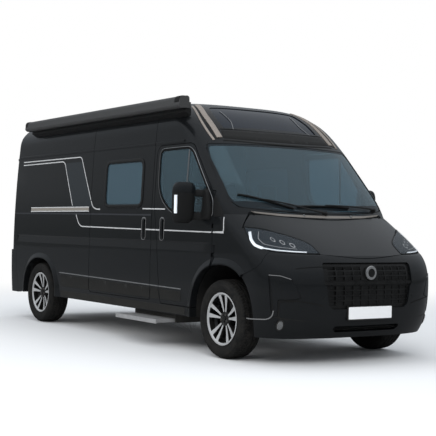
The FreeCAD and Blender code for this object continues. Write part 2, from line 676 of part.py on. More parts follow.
# The bonnet turns on two pins in the gap at its rear corners
bonnet_pin = V(front_x - 787, 0, mm("bonnet_pin_height"))
for side in (-1, 1):
    y = side * 780
    lug = rod(7, bonnet_pin + V(0, y - 5, 0), V(0, 10, 0))
    lug = lug.fuse(brick(bonnet_pin.x, bonnet_pin.x + 30, y - 5, y + 5, bonnet_pin.z - 7,
                         bonnet_pin.z + 5))
    bonnet = bonnet.fuse(lug.cut(rod(3 + fit, bonnet_pin + V(0, y - 6, 0), V(0, 12, 0))))
    plates.append(rod(3, bonnet_pin + V(0, y - 18, 0), V(0, 36, 0)))
    for shift in (-18, 8):
        ear = rod(7, bonnet_pin + V(0, y + shift, 0), V(0, 10, 0))
        plates.append(ear.fuse(brick(bonnet_pin.x - 24, bonnet_pin.x, y + shift,
                                     y + shift + 10, bonnet_pin.z - 12, bonnet_pin.z + 5)))

# Rear doors swing back on outside hinges, three to a side
rear_pin = V(tail_x - 14, door_half + gap / 2, 0)
rear_lugs = []
for level in (mm("rear_hinge_low"), mm("rear_hinge_mid"), mm("rear_hinge_high")):
    knuckle = rod(10, rear_pin + V(0, 0, level), V(0, 0, 30))
    arm = brick(rear_pin.x, rear_pin.x + 110, rear_pin.y - 34, rear_pin.y - 0.15, level,
                level + 30)
    lug = knuckle.fuse(arm).cut(rod(pin + fit - 2, rear_pin + V(0, 0, level), V(0, 0, 30)))
    rear_door = rear_door.fuse(lug.cut(room))
    base = rod(10, rear_pin + V(0, 0, level - 30.3), V(0, 0, 30))
    strap = brick(rear_pin.x, rear_pin.x + 120, rear_pin.y + 0.15, rear_pin.y + 34,
                  level - 30.3, level - 0.3)
    post = rod(pin - 2, rear_pin + V(0, 0, level - 20), V(0, 0, 45))
    rear_lugs += [base.fuse(strap).cut(room), post]
front_parts = plates[:4] + [mirrored(p) for p in plates[:4]] + plates[4:]
side_left = fixed.common(mirrored(side_box)).fuse(rear_lugs)
side_right = fixed.common(side_box).fuse([mirrored(p) for p in rear_lugs])
lug_room = []
for side in (-1, 1):
    y = side * 780
    lug_room.append(rod(9.5, bonnet_pin + V(0, y - 7, 0), V(0, 14, 0)))
    lug_room.append(brick(bonnet_pin.x - 6, bonnet_pin.x + 12, y - 7, y + 7, bonnet_pin.z,
                          bonnet_pin.z + 24))
front_body = fixed.common(nose_box).cut(lug_room).fuse(front_parts)

node("roof_panel", fixed.common(roof_box), 1)
node("body_side_right", side_right, 1)
node("body_side_left", side_left, 1)
node("front_body", front_body, 1)
node("windscreen", screen_glass, 1)
node("roof_window", roof_glass, 1)
node("side_windows", Part.makeCompound([slide_glass] + left_glass), 3)
node("sliding_door", slide_door, 1)
node("headlamps", lamps, 2)
node("front_bumper", bumper, 1)
node("grille", grille, 1)
node("tail_lamps", tail_lamps, 2)
node("rear_bumper", rear_bumper, 1)
node("bonnet", bonnet, 1)
node("cab_door_right", cab_door, 1)
node("cab_door_left", mirrored(cab_door), 1)
node("cab_glass_right", door_glass, 1)
node("cab_glass_left", mirrored(door_glass), 1)
node("rear_door_left", rear_door, 1)
node("rear_door_right", mirrored(rear_door), 1)
node("rear_glass_left", rear_glass, 1)
node("rear_glass_right", mirrored(rear_glass), 1)


# Mirrors on two arms, each with its foot on the cab door
mirror_x, mirror_z = hinge_x - 245, 1452
mirror_y = mm("mirror_reach")


def mirror():
    """Tall housing with two glasses' depth, carried by an upper and a lower arm."""
    shell_half = [(mirror_x - 70, -mirror_y + 235, 30), (mirror_x - 70, -mirror_y, 30),
                  (mirror_x + 60, -mirror_y + 12, 60), (mirror_x + 62, -mirror_y + 225, 50)]
    head = prism(shell_half, "xy", mirror_z - 197, mirror_z + 200)
    face = [(-mirror_y, mirror_z - 160, 60), (-mirror_y + 235, mirror_z - 197, 40),
            (-mirror_y + 235, mirror_z + 170, 70), (-mirror_y + 20, mirror_z + 200, 70)]
    head = head.common(prism(face, "yz", mirror_x - 100, mirror_x + 100))
    arms = []
    for z, rise in ((mirror_z + 95, 0), (mirror_z - 120, 0)):
        path = [(mirror_x - 20, -mirror_y + 220, 0), (mirror_x + 35, -mirror_y + 220, 0),
                (mirror_x + 165, -mirror_y + 330, 0), (mirror_x + 90, -mirror_y + 330, 0)]
        arms.append(prism(path, "xy", z - 19, z + 19))
    foot = prism([(mirror_x + 80, mirror_z - 160, 20), (mirror_x + 190, mirror_z - 160, 20),
                  (mirror_x + 170, mirror_z + 125, 20), (mirror_x + 80, mirror_z + 125, 20)],
                 "xz", -mirror_y + 270, -mirror_y + 340)
    return head.fuse(arms + [foot]).cut(seat)


# Awning: a closed cassette with end caps and three brackets on the roof edge
awning_rear, awning_front = front_x - 5365, front_x - 1640
awning_y, awning_z = mm("awning_reach"), mm("awning_base")
awning_profile = [(-awning_y, awning_z + 22, 20), (-awning_y + 12, awning_z + 118, 45),
                  (-awning_y + 120, awning_z + 128, 25), (-awning_y + 128, awning_z + 8, 12),
                  (-awning_y + 30, awning_z, 20)]
awning = prism(awning_profile, "yz", awning_rear, awning_front)
for x in (awning_rear + 250, (awning_rear + awning_front) / 2, awning_front - 250):
    bracket = brick(x - 60, x + 60, -awning_y + 100, -awning_y + 260, awning_z + 30,
                    awning_z + 90)
    awning = awning.fuse(bracket.cut(seat))

# Floor with its bulkhead, and liners over the wheels
lined = Envelope(wall + mm("seat_gap")).solid()
floor_low = mm("floor_top") - mm("floor_thick")
bulkhead_x = front_x - 759
bed_end = tail_x + wall + mm("tail_lean") + 40
floor = lined.common(brick(bed_end, bulkhead_x, -wide, wide, floor_low, mm("floor_top")))
floor = floor.cut([brick(split_x - 20, high, 944, wide, 0, high),
                   brick(split_x - 20, high, -wide, -944, 0, high)])
bulkhead = lined.common(brick(bulkhead_x - 15, bulkhead_x, -552, 552, floor_low, 1500))
liner_wall = 5
wheel_y = mm("track") / 2
king_y = wheel_y - mm("kingpin_inset")
axle_z = mm("tyre_radius")
rail_y = mm("rail_spacing") / 2
strut_room = Part.makeCylinder(40, 400, V(front_axle, -king_y + 95, axle_z + 300))
axle_room = Part.makeCylinder(44, 200, V(rear_axle, -900, axle_z), V(0, 1, 0))
leg_room = brick(front_axle - 66, front_axle + 66, -rail_y - 13, -rail_y + 13, 0, high)
liners = []
for name, depth in (("front", 560), ("rear", 735)):
    over = prism(arch_wire(*arches[name], spread=liner_wall), "xz", -wide, -depth + liner_wall)
    under = prism(arch_wire(*arches[name]), "xz", -wide, -depth if name == "rear" else 0)
    liner = over.cut(under).common(brick(-high, high, -wide, wide, mm("sill_height"), high))
    liner = liner.common(lined).cut(brick(0, hinge_x + 35, -wide, -948, 0, high))
    liners.append(liner.cut([strut_room, axle_room]))
    gone = prism(arch_wire(*arches[name], spread=liner_wall + 0.3), "xz", -wide,
                 -depth + liner_wall + 0.3)
    floor = floor.cut([gone, mirrored(gone)])
    bulkhead = bulkhead.cut([gone, mirrored(gone)])
floor = floor.fuse(bulkhead).cut([leg_room, mirrored(leg_room)])

node("floor_pan", floor, 1)
node("arch_liners", Part.makeCompound(liners + [mirrored(p) for p in liners]), 4)
node("mirror_right", mirror(), 1)
node("mirror_left", mirrored(mirror()), 1)
node("awning", awning, 1)

# Chassis frame: rails, cross members and the beam behind the front bumper
rail_top = floor_low
rail_low = rail_top - mm("rail_height")
rail_half = mm("rail_width") / 2
rails = []
for side in (-1, 1):
    rails.append(brick(tail_x + 60, front_axle + 640, side * rail_y - rail_half,
                       side * rail_y + rail_half, rail_low, rail_top))
for x in (tail_x + 90, rear_axle + 700, rear_axle + 1500, rear_axle + 2400, front_axle - 700):
    rails.append(brick(x, x + 80, -rail_y, rail_y, rail_low + 10, rail_top - 10))
beam = Envelope(mm("bumper_wall") + mm("seat_gap")).solid().cut(
    Envelope(mm("bumper_wall") + 60).solid())
beam = beam.common(brick(front_axle + 500, high, -660, 660, rail_low + 15, rail_top - 15))
rails += [beam, brick(front_axle + 600, front_axle + 800, rail_y - rail_half,
                      rail_y + rail_half, rail_low + 15, rail_top - 15).common(room)]
rails.append(mirrored(rails[-1]))
tail_beam = brick(-front_x + 10, tail_x + 90, -700, 700, 400, 470)
frame = rails[0].fuse(rails[1:] + [tail_beam.common(room)])
frame = frame.cut(rod(58, V(rear_axle, -wide, axle_z), V(0, 2 * wide, 0)))
node("chassis_frame", frame, 1)

# Rear axle on leaf springs
stub = mm("stub_radius")
axle = rod(38, V(rear_axle, -wheel_y + 120, axle_z), V(0, 2 * wheel_y - 240, 0))
for side in (-1, 1):
    y = side * wheel_y
    axle = axle.fuse([rod(stub, V(rear_axle, y - side * 130, axle_z), V(0, side * 180, 0)),
                      rod(120, V(rear_axle, y - side * 95, axle_z), V(0, side * 50, 0))])
spring_y = 610
springs = []
for side in (-1, 1):
    y = side * spring_y
    low, end = axle_z - 38 - 26, rail_low - 20
    curve = [Part.Arc(V(rear_axle - 650, y - 32, end), V(rear_axle, y - 32, low),
                      V(rear_axle + 650, y - 32, end)).toShape(),
             Part.LineSegment(V(rear_axle + 650, y - 32, end),
                              V(rear_axle + 650, y - 32, end + 26)).toShape(),
             Part.Arc(V(rear_axle + 650, y - 32, end + 26), V(rear_axle, y - 32, low + 26),
                      V(rear_axle - 650, y - 32, end + 26)).toShape(),
             Part.LineSegment(V(rear_axle - 650, y - 32, end + 26),
                              V(rear_axle - 650, y - 32, end)).toShape()]
    spring = Part.Face(Part.Wire(curve)).extrude(V(0, 64, 0))
    inner_y = rail_y + rail_half
    for x in (rear_axle - 650, rear_axle + 650):
        spring = spring.fuse([rod(22, V(x, y - 32, end + 13), V(0, 64, 0)),
                              brick(x - 25, x + 25, y - 20, y + 20, end + 13, rail_low + 60),
                              brick(x - 25, x + 25, inner_y, y + 20, rail_low + 20,
                                    rail_low + 60) if side > 0 else
                              brick(x - 25, x + 25, y - 20, -inner_y, rail_low + 20,
                                    rail_low + 60)])
    springs.append(spring)
    axle = axle.fuse(brick(rear_axle - 60, rear_axle + 60, y - 42, y + 42, low - 12,
                           axle_z))
axle = axle.cut(springs)
node("rear_axle", axle, 1)
node("leaf_springs", Part.makeCompound(springs), 2)

# Front suspension: cross member, lower arms, spring struts and upper ball joints
ball_low, ball_high = axle_z - 150, axle_z + 158
hub = brick(front_axle - 90, front_axle + 90, -440, 440, rail_low - 110, rail_low)
towers = [hub]
for side in (-1, 1):
    arm = Part.makeLoft([outline([(front_axle - 140, ball_low - 18), (front_axle + 120, ball_low - 18),
                                  (front_axle + 120, ball_low + 18), (front_axle - 140, ball_low + 18)],
                                 "xz").translated(V(0, side * 380, 20)),
                         outline([(front_axle - 30, ball_low - 14), (front_axle + 30, ball_low - 14),
                                  (front_axle + 30, ball_low + 14), (front_axle - 30, ball_low + 14)],
                                 "xz").translated(V(0, side * king_y, 0))], True, True)
    eye = rod(32, V(front_axle, side * king_y, ball_low - 14), V(0, 0, 28))
    strut_y = side * (king_y - 95)
    strut = rod(34, V(front_axle, strut_y, ball_low), V(0, 0, 700))
    link = brick(front_axle - 25, front_axle + 25, min(strut_y, side * king_y),
                 max(strut_y, side * king_y), ball_high, ball_high + 28)
    cup = rod(28, V(front_axle, side * king_y, ball_high), V(0, 0, 28))
    post = rod(mm("king_radius"), V(front_axle, side * king_y, ball_low), V(0, 0, 308))
    tower = brick(front_axle - 60, front_axle + 60, min(side * rail_y, strut_y + side * 40),
                  max(side * rail_y, strut_y + side * 40), ball_low + 700, ball_low + 730)
    leg = brick(front_axle - 60, front_axle + 60, side * rail_y - 8, side * rail_y + 8,
                rail_top - 5, ball_low + 730)
    towers += [arm, eye, strut, link, cup, post, tower, leg]
suspension = towers[0].fuse(towers[1:]).cut(frame)
node("front_suspension", suspension, 1)


def knuckle(side):
    """Steering knuckle: a sleeve on the kingpin with the stub axle of its wheel."""
    y = side * king_y
    sleeve = rod(34, V(front_axle, y, ball_low + 20), V(0, 0, 308 - 20 - mm("seat_gap")))
    stub_axle = rod(stub, V(front_axle, y, axle_z), V(0, side * (mm("kingpin_inset") + 50), 0))
    steering_arm = brick(front_axle - 150, front_axle, y - 14, y + 14, axle_z - 60, axle_z - 36)
    body = sleeve.fuse([stub_axle, steering_arm])
    return body.cut(rod(mm("king_radius") + 0.3, V(front_axle, y, ball_low), V(0, 0, 308)))


node("knuckle_right", knuckle(-1), 1)
node("knuckle_left", knuckle(1), 1)


def tyre(x, side):
    r, half = mm("tyre_radius"), mm("tyre_width") / 2
    bead = mm("rim_radius")
    seat_half = mm("rim_width") / 2 - 10.6
    ring = [V(bead + 14, -seat_half, 0), V(bead + 62, -half, 0), V(r - 22, -half + 12, 0),
            V(r, -half + 38, 0)]
    wall_side = Part.BSplineCurve()
    wall_side.interpolate(Points=ring)
    other = Part.BSplineCurve()
    other.interpolate(Points=[V(p.x, -p.y, 0) for p in reversed(ring)])
    foot = [V(bead + 14, seat_half, 0), V(bead, seat_half, 0), V(bead, -seat_half, 0),
            V(bead + 14, -seat_half, 0)]
    lines = [Part.LineSegment(p, q).toShape() for p, q in zip(foot, foot[1:])]
    crown = Part.LineSegment(ring[-1], V(r, half - 38, 0)).toShape()
    wire = Part.Wire([wall_side.toShape(), crown, other.toShape()] + lines)
    solid = Part.Face(wire).revolve(V(0, 0, 0), V(0, 1, 0), 360)
    solid.translate(V(x, side * wheel_y, axle_z))
    return solid


def rim(x, side):
    """Rim well, dished spokes in pairs and a hub with the bore of the stub axle."""
    outer = mm("rim_radius") - 0.3
    half = mm("rim_width") / 2
    well = [(outer + 12, -half), (outer + 12, -half + 7), (outer, -half + 10),
            (outer, -half + 40), (outer - 24, -half + 60), (outer - 24, half - 90),
            (outer, half - 70), (outer, half - 10), (outer + 12, half - 7), (outer + 12, half),
            (outer + 2, half), (outer - 12, half - 16), (outer - 12, half - 68),
            (outer - 34, half - 88), (outer - 34, -half + 58), (outer - 12, -half + 38),
            (outer - 12, -half + 14), (outer + 2, -half)]
    dish = [(0, 66), (62, 66), (78, 48), (outer - 11, 62), (outer - 11, 86), (90, 84),
            (60, 80), (0, 80)]
    boss = [(stub + fit, -30), (mm("disc_radius"), -30), (mm("disc_radius"), -30 + mm("disc_width")),
            (80, -30 + mm("disc_width")), (78, 48), (62, 66), (stub + fit, 66)]
    shapes = []
    for profile in (well, dish, boss):
        wire = Part.makePolygon([V(r, y, 0) for r, y in profile + profile[:1]])
        shapes.append(Part.Face(wire).revolve(V(0, 0, 0), V(0, 1, 0), 360))
    disc = shapes[1]
    spokes = 5
    for k in range(spokes):
        for turn, wide_half, narrow in ((0, 17, 96), (36, 8, 104)):
            angle = k * 360 / spokes + turn
            lo, hi = math.radians(-wide_half), math.radians(wide_half)
            reach = outer - 16
            hole = Part.Wire(Part.makePolygon([
                V(narrow * math.sin(lo * 0.5), 0, narrow * math.cos(lo * 0.5)),
                V(reach * math.sin(lo), 0, reach * math.cos(lo)),
                V(reach * math.sin(0), 0, reach),
                V(reach * math.sin(hi), 0, reach * math.cos(hi)),
                V(narrow * math.sin(hi * 0.5), 0, narrow * math.cos(hi * 0.5)),
                V(narrow * math.sin(lo * 0.5), 0, narrow * math.cos(lo * 0.5))]))
            cutter = Part.Face(hole).extrude(V(0, 120, 0))
            cutter.rotate(V(0, 0, 0), V(0, 1, 0), angle)
            disc = disc.cut(cutter)
    solid = shapes[0].fuse([disc, shapes[2]])
    if side < 0:
        solid = solid.mirror(V(0, 0, 0), V(0, 1, 0))
    solid.translate(V(x, side * wheel_y, axle_z))
    return solid


for end, x in (("front", front_axle), ("rear", rear_axle)):
    for name, side in (("right", -1), ("left", 1)):
        node("tyre_%s_%s" % (end, name), tyre(x, side), 1)
        node("rim_%s_%s" % (end, name), rim(x, side), 1)

# Entry step sliding in a casing under the sill
step_rear, step_front = slide_front - 440, slide_front + 365
step_z = mm("step_base")
casing_y = mm("side_half") - 93
casing = brick(step_rear - 12, step_front + 12, -casing_y, -casing_y + 380, step_z - 8,
               mm("sill_height"))
tread_thick = 34
pocket = brick(step_rear - 0.4, step_front + 0.4, -wide, -casing_y + 340, step_z - 0.4,
               step_z + tread_thick + 0.4)
step_reach = mm("step_reach")
tread = brick(step_rear, step_front, -step_reach, -step_reach + 275, step_z, step_z + tread_thick)
tread = tread.fuse(brick(step_rear - 14, step_front + 14, -step_reach, -step_reach + 20,
                         step_z - 6, step_z + tread_thick + 2))
casing = casing.cut(pocket)
for x in (step_rear + 60, step_front - 60):
    casing = casing.fuse(brick(x - 20, x + 20, -casing_y + 150, -casing_y + 190,
                               mm("sill_height"), floor_low))
node("step_casing", casing, 1)
node("step_tread", tread, 1)

# Engine, exhaust and waste tank under the body
node("engine_block", brick(front_axle + 210, front_axle + 640, -rail_y + 60, rail_y - 60,
                           rail_low - 70, 900).fuse(
    [brick(front_axle + 380, front_axle + 460, -rail_y + rail_half, rail_y - rail_half,
           rail_low + 20, rail_low + 70)]), 1)
pipe_y, pipe_z = 300, rail_low - 40
exhaust = rod(28, V(rear_axle + 500, pipe_y, pipe_z), V(3250, 0, 0))
exhaust = exhaust.fuse([rod(95, V(front_axle - 1500, pipe_y, pipe_z - 20), V(640, 0, 0)),
                        brick(rear_axle + 1510, rear_axle + 1570, pipe_y - 12, pipe_y + 12,
                              pipe_z, rail_low + 10),
                        brick(rear_axle + 2410, rear_axle + 2470, pipe_y - 12, pipe_y + 12,
                              pipe_z, rail_low + 10)])
node("exhaust", exhaust, 1)
node("waste_tank", brick(rear_axle + 800, rear_axle + 1480, -rail_y + rail_half + 10,
                         pipe_y - 130, rail_low - 90, floor_low), 1)

# Inside: dashboard, seats, galley, washroom, wardrobe, lockers and bed
dash_profile = [(bulkhead_x - 340, 985, 0), (bulkhead_x - 15.3, 985, 0), (bulkhead_x - 15.3, 1400, 0),
                (bulkhead_x - 330, 1300, 80), (bulkhead_x - 520, 1215, 60),
                (bulkhead_x - 560, 1090, 40), (bulkhead_x - 470, 900, 60)]
dash_room = Envelope(wall + 14).solid()
dash = prism(dash_profile, "xz", -900, 900).common(dash_room)
tilt = math.radians(28)
column_way = V(-math.cos(tilt), 0, math.sin(tilt))
wheel_centre = V(bulkhead_x - 700, 430, 1120)
column = rod(42, wheel_centre - column_way * 330, column_way * 290)
shaft = rod(14, wheel_centre - column_way * 200, column_way * 210)
gone = prism(arch_wire(*arches["front"], spread=liner_wall + 12), "xz", -wide, wide)
dash = dash.cut(gone).fuse([column, shaft])
node("dashboard", dash, 1)
turn = FreeCAD.Rotation(V(0, 0, 1), column_way)
wheel = Part.makeTorus(188, 15)
grip = [wheel, Part.makeCylinder(48, 34, V(0, 0, -22))]
for angle in (90, 210, 330):
    spoke = brick(30, 180, -16, 16, -10, 2)
    spoke.rotate(V(0, 0, 0), V(0, 0, 1), angle + 90)
    grip.append(spoke)
steering = grip[0].fuse(grip[1:]).cut(Part.makeCylinder(14.3, 40, V(0, 0, -28)))
steering.Placement = FreeCAD.Placement(wheel_centre, turn)
node("steering_wheel", steering, 1)

floor_z = mm("floor_top")


def seat_shape(x, y, half, base):
    """Seat with box base, cushion, raked back and headrest, facing forward."""
    pedestal = brick(x + 40, x + 440, y - half + 40, y + half - 40, floor_z, base)
    cushion = prism([(x, base, 30), (x + 520, base, 50), (x + 530, base + 150, 60),
                     (x, base + 130, 30)], "xz", y - half, y + half)
    back = prism([(x - 20, base + 100, 40), (x + 130, base + 100, 40),
                  (x - 20, base + 700, 50), (x - 140, base + 700, 50)],
                 "xz", y - half, y + half)
    rest = prism([(x - 130, base + 690, 20), (x - 40, base + 690, 20),
                  (x - 50, base + 900, 40), (x - 150, base + 900, 40)],
                 "xz", y - 130, y + 130)
    return pedestal.fuse([cushion, back, rest])


node("cab_seats", both(seat_shape(hinge_x - 1020, -460, 250, floor_z + 270)), 2)
node("bench_seat", seat_shape(slide_front - 760, 520, 380, floor_z + 320), 1)
table_z = 1225
table = lined.common(brick(slide_front - 470, slide_front - 70, 400, wide, table_z,
                           table_z + 28))
leg = brick(slide_front - 180, slide_front - 130, 560, 610, floor_z, table_z)
node("table", table.fuse(leg), 1)
galley = lined.common(brick(slide_rear + 10, slide_front - 480, -wide, -430, floor_z, 1425))
node("galley", galley, 1)
washroom = lined.common(brick(slide_rear - 640, slide_rear + 330, 160, wide, floor_z, 2300))
wardrobe = lined.common(brick(slide_rear - 640, slide_rear - 20, -wide, -330, floor_z, 2300))
node("washroom", washroom, 1)
node("wardrobe", wardrobe, 1)
bed_low = 850
bed_x = tail_x + wall + mm("tail_lean") + 60
bed_rim = slide_rear - 645
deck = lined.common(brick(bed_x, bed_rim, -wide, wide, bed_low, bed_low + 30))
deck = deck.fuse([brick(bed_x, bed_rim, 680, 702, floor_z, bed_low),
                  brick(bed_x, bed_rim, -702, -680, floor_z, bed_low)])
node("bed_deck", deck, 1)
mattress = Envelope(wall + 12).solid().common(
    brick(bed_x + 10, bed_rim, -wide, wide, bed_low + 30.3, bed_low + 170))
node("mattress", mattress, 1)
lockers = lined.common(brick(bed_x, bed_rim, 620, wide, 1985, 2330))
node("overhead_lockers", both(lockers), 2)

doc.recompute()
os.makedirs("parts", exist_ok=True)
made = [item for item in doc.Objects if item.TypeId != "Spreadsheet::Sheet"]
for item in made:
    if "Invalid" in item.State or "Error" in item.State:
        raise SystemExit("failed object " + item.Label)
    if item.Shape.isNull() or not item.Shape.isValid():
        raise SystemExit("bad shape " + item.Label)
for item in made:
    item.Shape.exportStep("parts/%s.step" % item.Label)
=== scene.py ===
import json
import math

import bmesh
import bpy
import numpy as np
from mathutils import Matrix, Vector
from mathutils.geometry import delaunay_2d_cdt


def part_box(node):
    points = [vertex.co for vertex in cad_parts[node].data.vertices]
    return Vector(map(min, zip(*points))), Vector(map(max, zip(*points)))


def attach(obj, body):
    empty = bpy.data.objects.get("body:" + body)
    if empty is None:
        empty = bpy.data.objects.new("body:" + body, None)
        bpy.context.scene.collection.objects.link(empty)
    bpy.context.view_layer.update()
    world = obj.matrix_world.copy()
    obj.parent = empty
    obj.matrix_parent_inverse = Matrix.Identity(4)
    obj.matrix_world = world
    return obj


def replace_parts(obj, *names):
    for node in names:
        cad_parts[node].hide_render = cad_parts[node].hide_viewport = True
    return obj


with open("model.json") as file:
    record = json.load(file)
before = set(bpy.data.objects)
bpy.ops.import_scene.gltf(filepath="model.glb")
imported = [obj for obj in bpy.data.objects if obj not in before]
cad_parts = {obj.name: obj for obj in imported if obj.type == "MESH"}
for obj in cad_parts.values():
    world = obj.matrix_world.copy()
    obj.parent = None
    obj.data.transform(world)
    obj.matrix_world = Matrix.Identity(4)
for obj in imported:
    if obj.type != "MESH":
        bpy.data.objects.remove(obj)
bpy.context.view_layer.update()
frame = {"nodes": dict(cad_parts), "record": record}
nodes = frame["nodes"]

# Camera at the photograph's place, in metres and degrees
CAMERA_AT = (10.117, -6.488, 1.228)
CAMERA_YAW, CAMERA_PITCH, CAMERA_ROLL = 146.05, 0.47, 1.08
CAMERA_LENS = 86.49


def set_camera():
    """Camera from its heading, elevation and roll about its own axis."""
    yaw, pitch, roll = (math.radians(a) for a in (CAMERA_YAW, CAMERA_PITCH, CAMERA_ROLL))
    forward = Vector((math.cos(pitch) * math.cos(yaw), math.cos(pitch) * math.sin(yaw),
                      math.sin(pitch)))
    right = forward.cross(Vector((0, 0, 1))).normalized()
    up = right.cross(forward)
    turned_right = math.cos(roll) * right + math.sin(roll) * up
    turned_up = math.cos(roll) * up - math.sin(roll) * right
    data = bpy.data.cameras.new("camera")
    data.lens = CAMERA_LENS
    data.sensor_width = 36.0
    data.clip_end = 200.0
    camera = bpy.data.objects.new("camera", data)
    basis = Matrix((turned_right, turned_up, -forward)).transposed().to_4x4()
    camera.matrix_world = Matrix.Translation(CAMERA_AT) @ basis
    bpy.context.scene.collection.objects.link(camera)
    bpy.context.scene.camera = camera


# Shape of the body skin, in metres, as the solids have it
NOSE_X = -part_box("rear_bumper")[0].x
HALF, ROOF = 1.008, 2.520
SILL_Z, WAIST_Z, CANT_Z = 0.345, 0.8, 2.24
BUMPER_LOW, BUMPER_MID, BONNET_FOOT, SCREEN_FOOT, SCREEN_TOP = 0.245, 0.640, 0.985, 1.345, 2.060
# Distances behind the nose, in metres: of the bumper's lower edge, of the foot of the bonnet
# and of the windscreen, and of the curve that leads from the windscreen to the roof
CHIN_BACK, BONNET_BACK, SCREEN_BACK, FOREHEAD_BACK = 0.105, 0.099, 0.689, (1.359, 1.849, 2.149)
BONNET_BOW, SCREEN_BOW = 0.072, 0.048
SILL_TUCK, ROOF_TUCK, CANT_REACH = 0.016, 0.080, 0.330


def half_width(z):
    """Half the width at a height: tucks in below and above the waist, then rounds over."""
    z = np.asarray(z, float)
    tuck = np.where(z < WAIST_Z, SILL_TUCK * ((WAIST_Z - z) / (WAIST_Z - SILL_Z)) ** 2,
                    ROOF_TUCK * ((z - WAIST_Z) / (ROOF - WAIST_Z)) ** 2)
    rise = np.clip((z - CANT_Z) / (ROOF - CANT_Z), 0, 1)
    return HALF - tuck - CANT_REACH * (1 - np.sqrt(1 - rise ** 2))


def nose_x(z):
    """Centre-line x of the front: bumper, bonnet, windscreen and forehead in turn."""
    z = np.asarray(z, float)
    drop = np.clip(BUMPER_MID - z, 0, 1) / (BUMPER_MID - BUMPER_LOW)
    rise = np.clip(z - BUMPER_MID, 0, 1) / (BONNET_FOOT - BUMPER_MID)
    lower, cheek = NOSE_X - CHIN_BACK * drop ** 2.5, NOSE_X - BONNET_BACK * rise ** 3.5
    part = np.clip((z - BONNET_FOOT) / (SCREEN_FOOT - BONNET_FOOT), 0, 1)
    bonnet = (NOSE_X - BONNET_BACK - (SCREEN_BACK - BONNET_BACK) * part
              + BONNET_BOW * part * (1 - part))
    part = np.clip((z - SCREEN_FOOT) / (SCREEN_TOP - SCREEN_FOOT), 0, 1)
    screen = (NOSE_X - SCREEN_BACK - (FOREHEAD_BACK[0] - SCREEN_BACK) * part
              + SCREEN_BOW * part * (1 - part))
    part = 1 - np.sqrt(np.clip((ROOF - z) / (ROOF - SCREEN_TOP), 0, 1))
    first, second, third = (NOSE_X - back for back in FOREHEAD_BACK)
    cap = (1 - part) ** 2 * first + 2 * part * (1 - part) * second + part ** 2 * third
    return np.select([z < BUMPER_MID, z < BONNET_FOOT, z < SCREEN_FOOT, z < SCREEN_TOP],
                     [lower, cheek, bonnet, screen], cap)


def corner_depth(z):
    """How far back the front corner reaches at a height."""
    return np.interp(z, [BUMPER_LOW, BONNET_FOOT, SCREEN_FOOT, 1.500, ROOF],
                     [0.550, 0.530, 0.400, 0.310, 0.310])


def side_skin(x, z, side, lift=0.0):
    """Point of the flank at a length and a height, lifted outwards; the plan of the front
    corner is a cubic superellipse."""
    x, z = np.broadcast_arrays(np.asarray(x, float), np.asarray(z, float))
    back = nose_x(z) - corner_depth(z)
    part = np.clip((x - back) / corner_depth(z), 0, 0.999)
    y = half_width(z) * (1 - part ** 3) ** (1 / 3)
    return np.stack([x, side * (y + lift), z], axis=-1)


AHEAD, UPWARDS = np.array([1.0, 0.0, 0.0]), np.array([0.0, 0.0, 1.0])


# Mesh helpers
def add_piece(name, points, faces, body, look, sharp=40, fix=True):
    """Mesh object from points and lists of corner numbers, with its body and its look, which is a
    slot and a material; the look's slot is not used, only its material; fix turns the faces
    outwards."""
    mesh = bpy.data.meshes.new(name)
    mesh.from_pydata([tuple(p) for p in np.asarray(points).reshape(-1, 3)], [],
                     [tuple(int(i) for i in f) for f in faces])
    mesh.validate()
    mesh.polygons.foreach_set("use_smooth", [True] * len(mesh.polygons))
    mesh.set_sharp_from_angle(angle=math.radians(sharp))
    piece = bpy.data.objects.new(name, mesh)
    bpy.context.scene.collection.objects.link(piece)
    slot, material = look
    mesh.materials.append(material)
    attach(piece, body)
    if fix:
        fix_normals(piece)
    return piece


def swept_volume(made):
    """Volume between the faces and the middle of the corners: below zero if inside out."""
    middle = sum((v.co for v in made.verts), Vector()) / len(made.verts)
    return sum(f.calc_area() * f.normal.dot(f.calc_center_median() - middle)
               for f in made.faces)


def fix_normals(piece, weld=0.0):
    """Makes a piece's faces point outwards together, first joining corners within a weld."""
    made = bmesh.new()
    made.from_mesh(piece.data)
    if weld:
        bmesh.ops.remove_doubles(made, verts=made.verts, dist=weld)
    bmesh.ops.recalc_face_normals(made, faces=made.faces)
    if swept_volume(made) < 0:
        bmesh.ops.reverse_faces(made, faces=made.faces)
    made.to_mesh(piece.data)
    made.free()


def grid_faces(rows, columns, wrap_rows=False, wrap_columns=False, first=0):
    """Corner numbers of a grid of quads, with its last row or column joined to the first."""
    r = np.arange(rows if wrap_rows else rows - 1)
    c = np.arange(columns if wrap_columns else columns - 1)
    r, c = np.meshgrid(r, c, indexing="ij")
    r1, c1 = (r + 1) % rows, (c + 1) % columns
    quads = np.stack([r * columns + c, r1 * columns + c, r1 * columns + c1,
                      r * columns + c1], axis=-1).reshape(-1, 4) + first
    return quads.tolist()


def tube_faces(rows, ring):
    """Faces of a tube of rings, closed at both ends."""
    last = (rows - 1) * ring
    return grid_faces(rows, ring, False, True) + [list(range(ring))[::-1],
                                                  [last + k for k in range(ring)]]


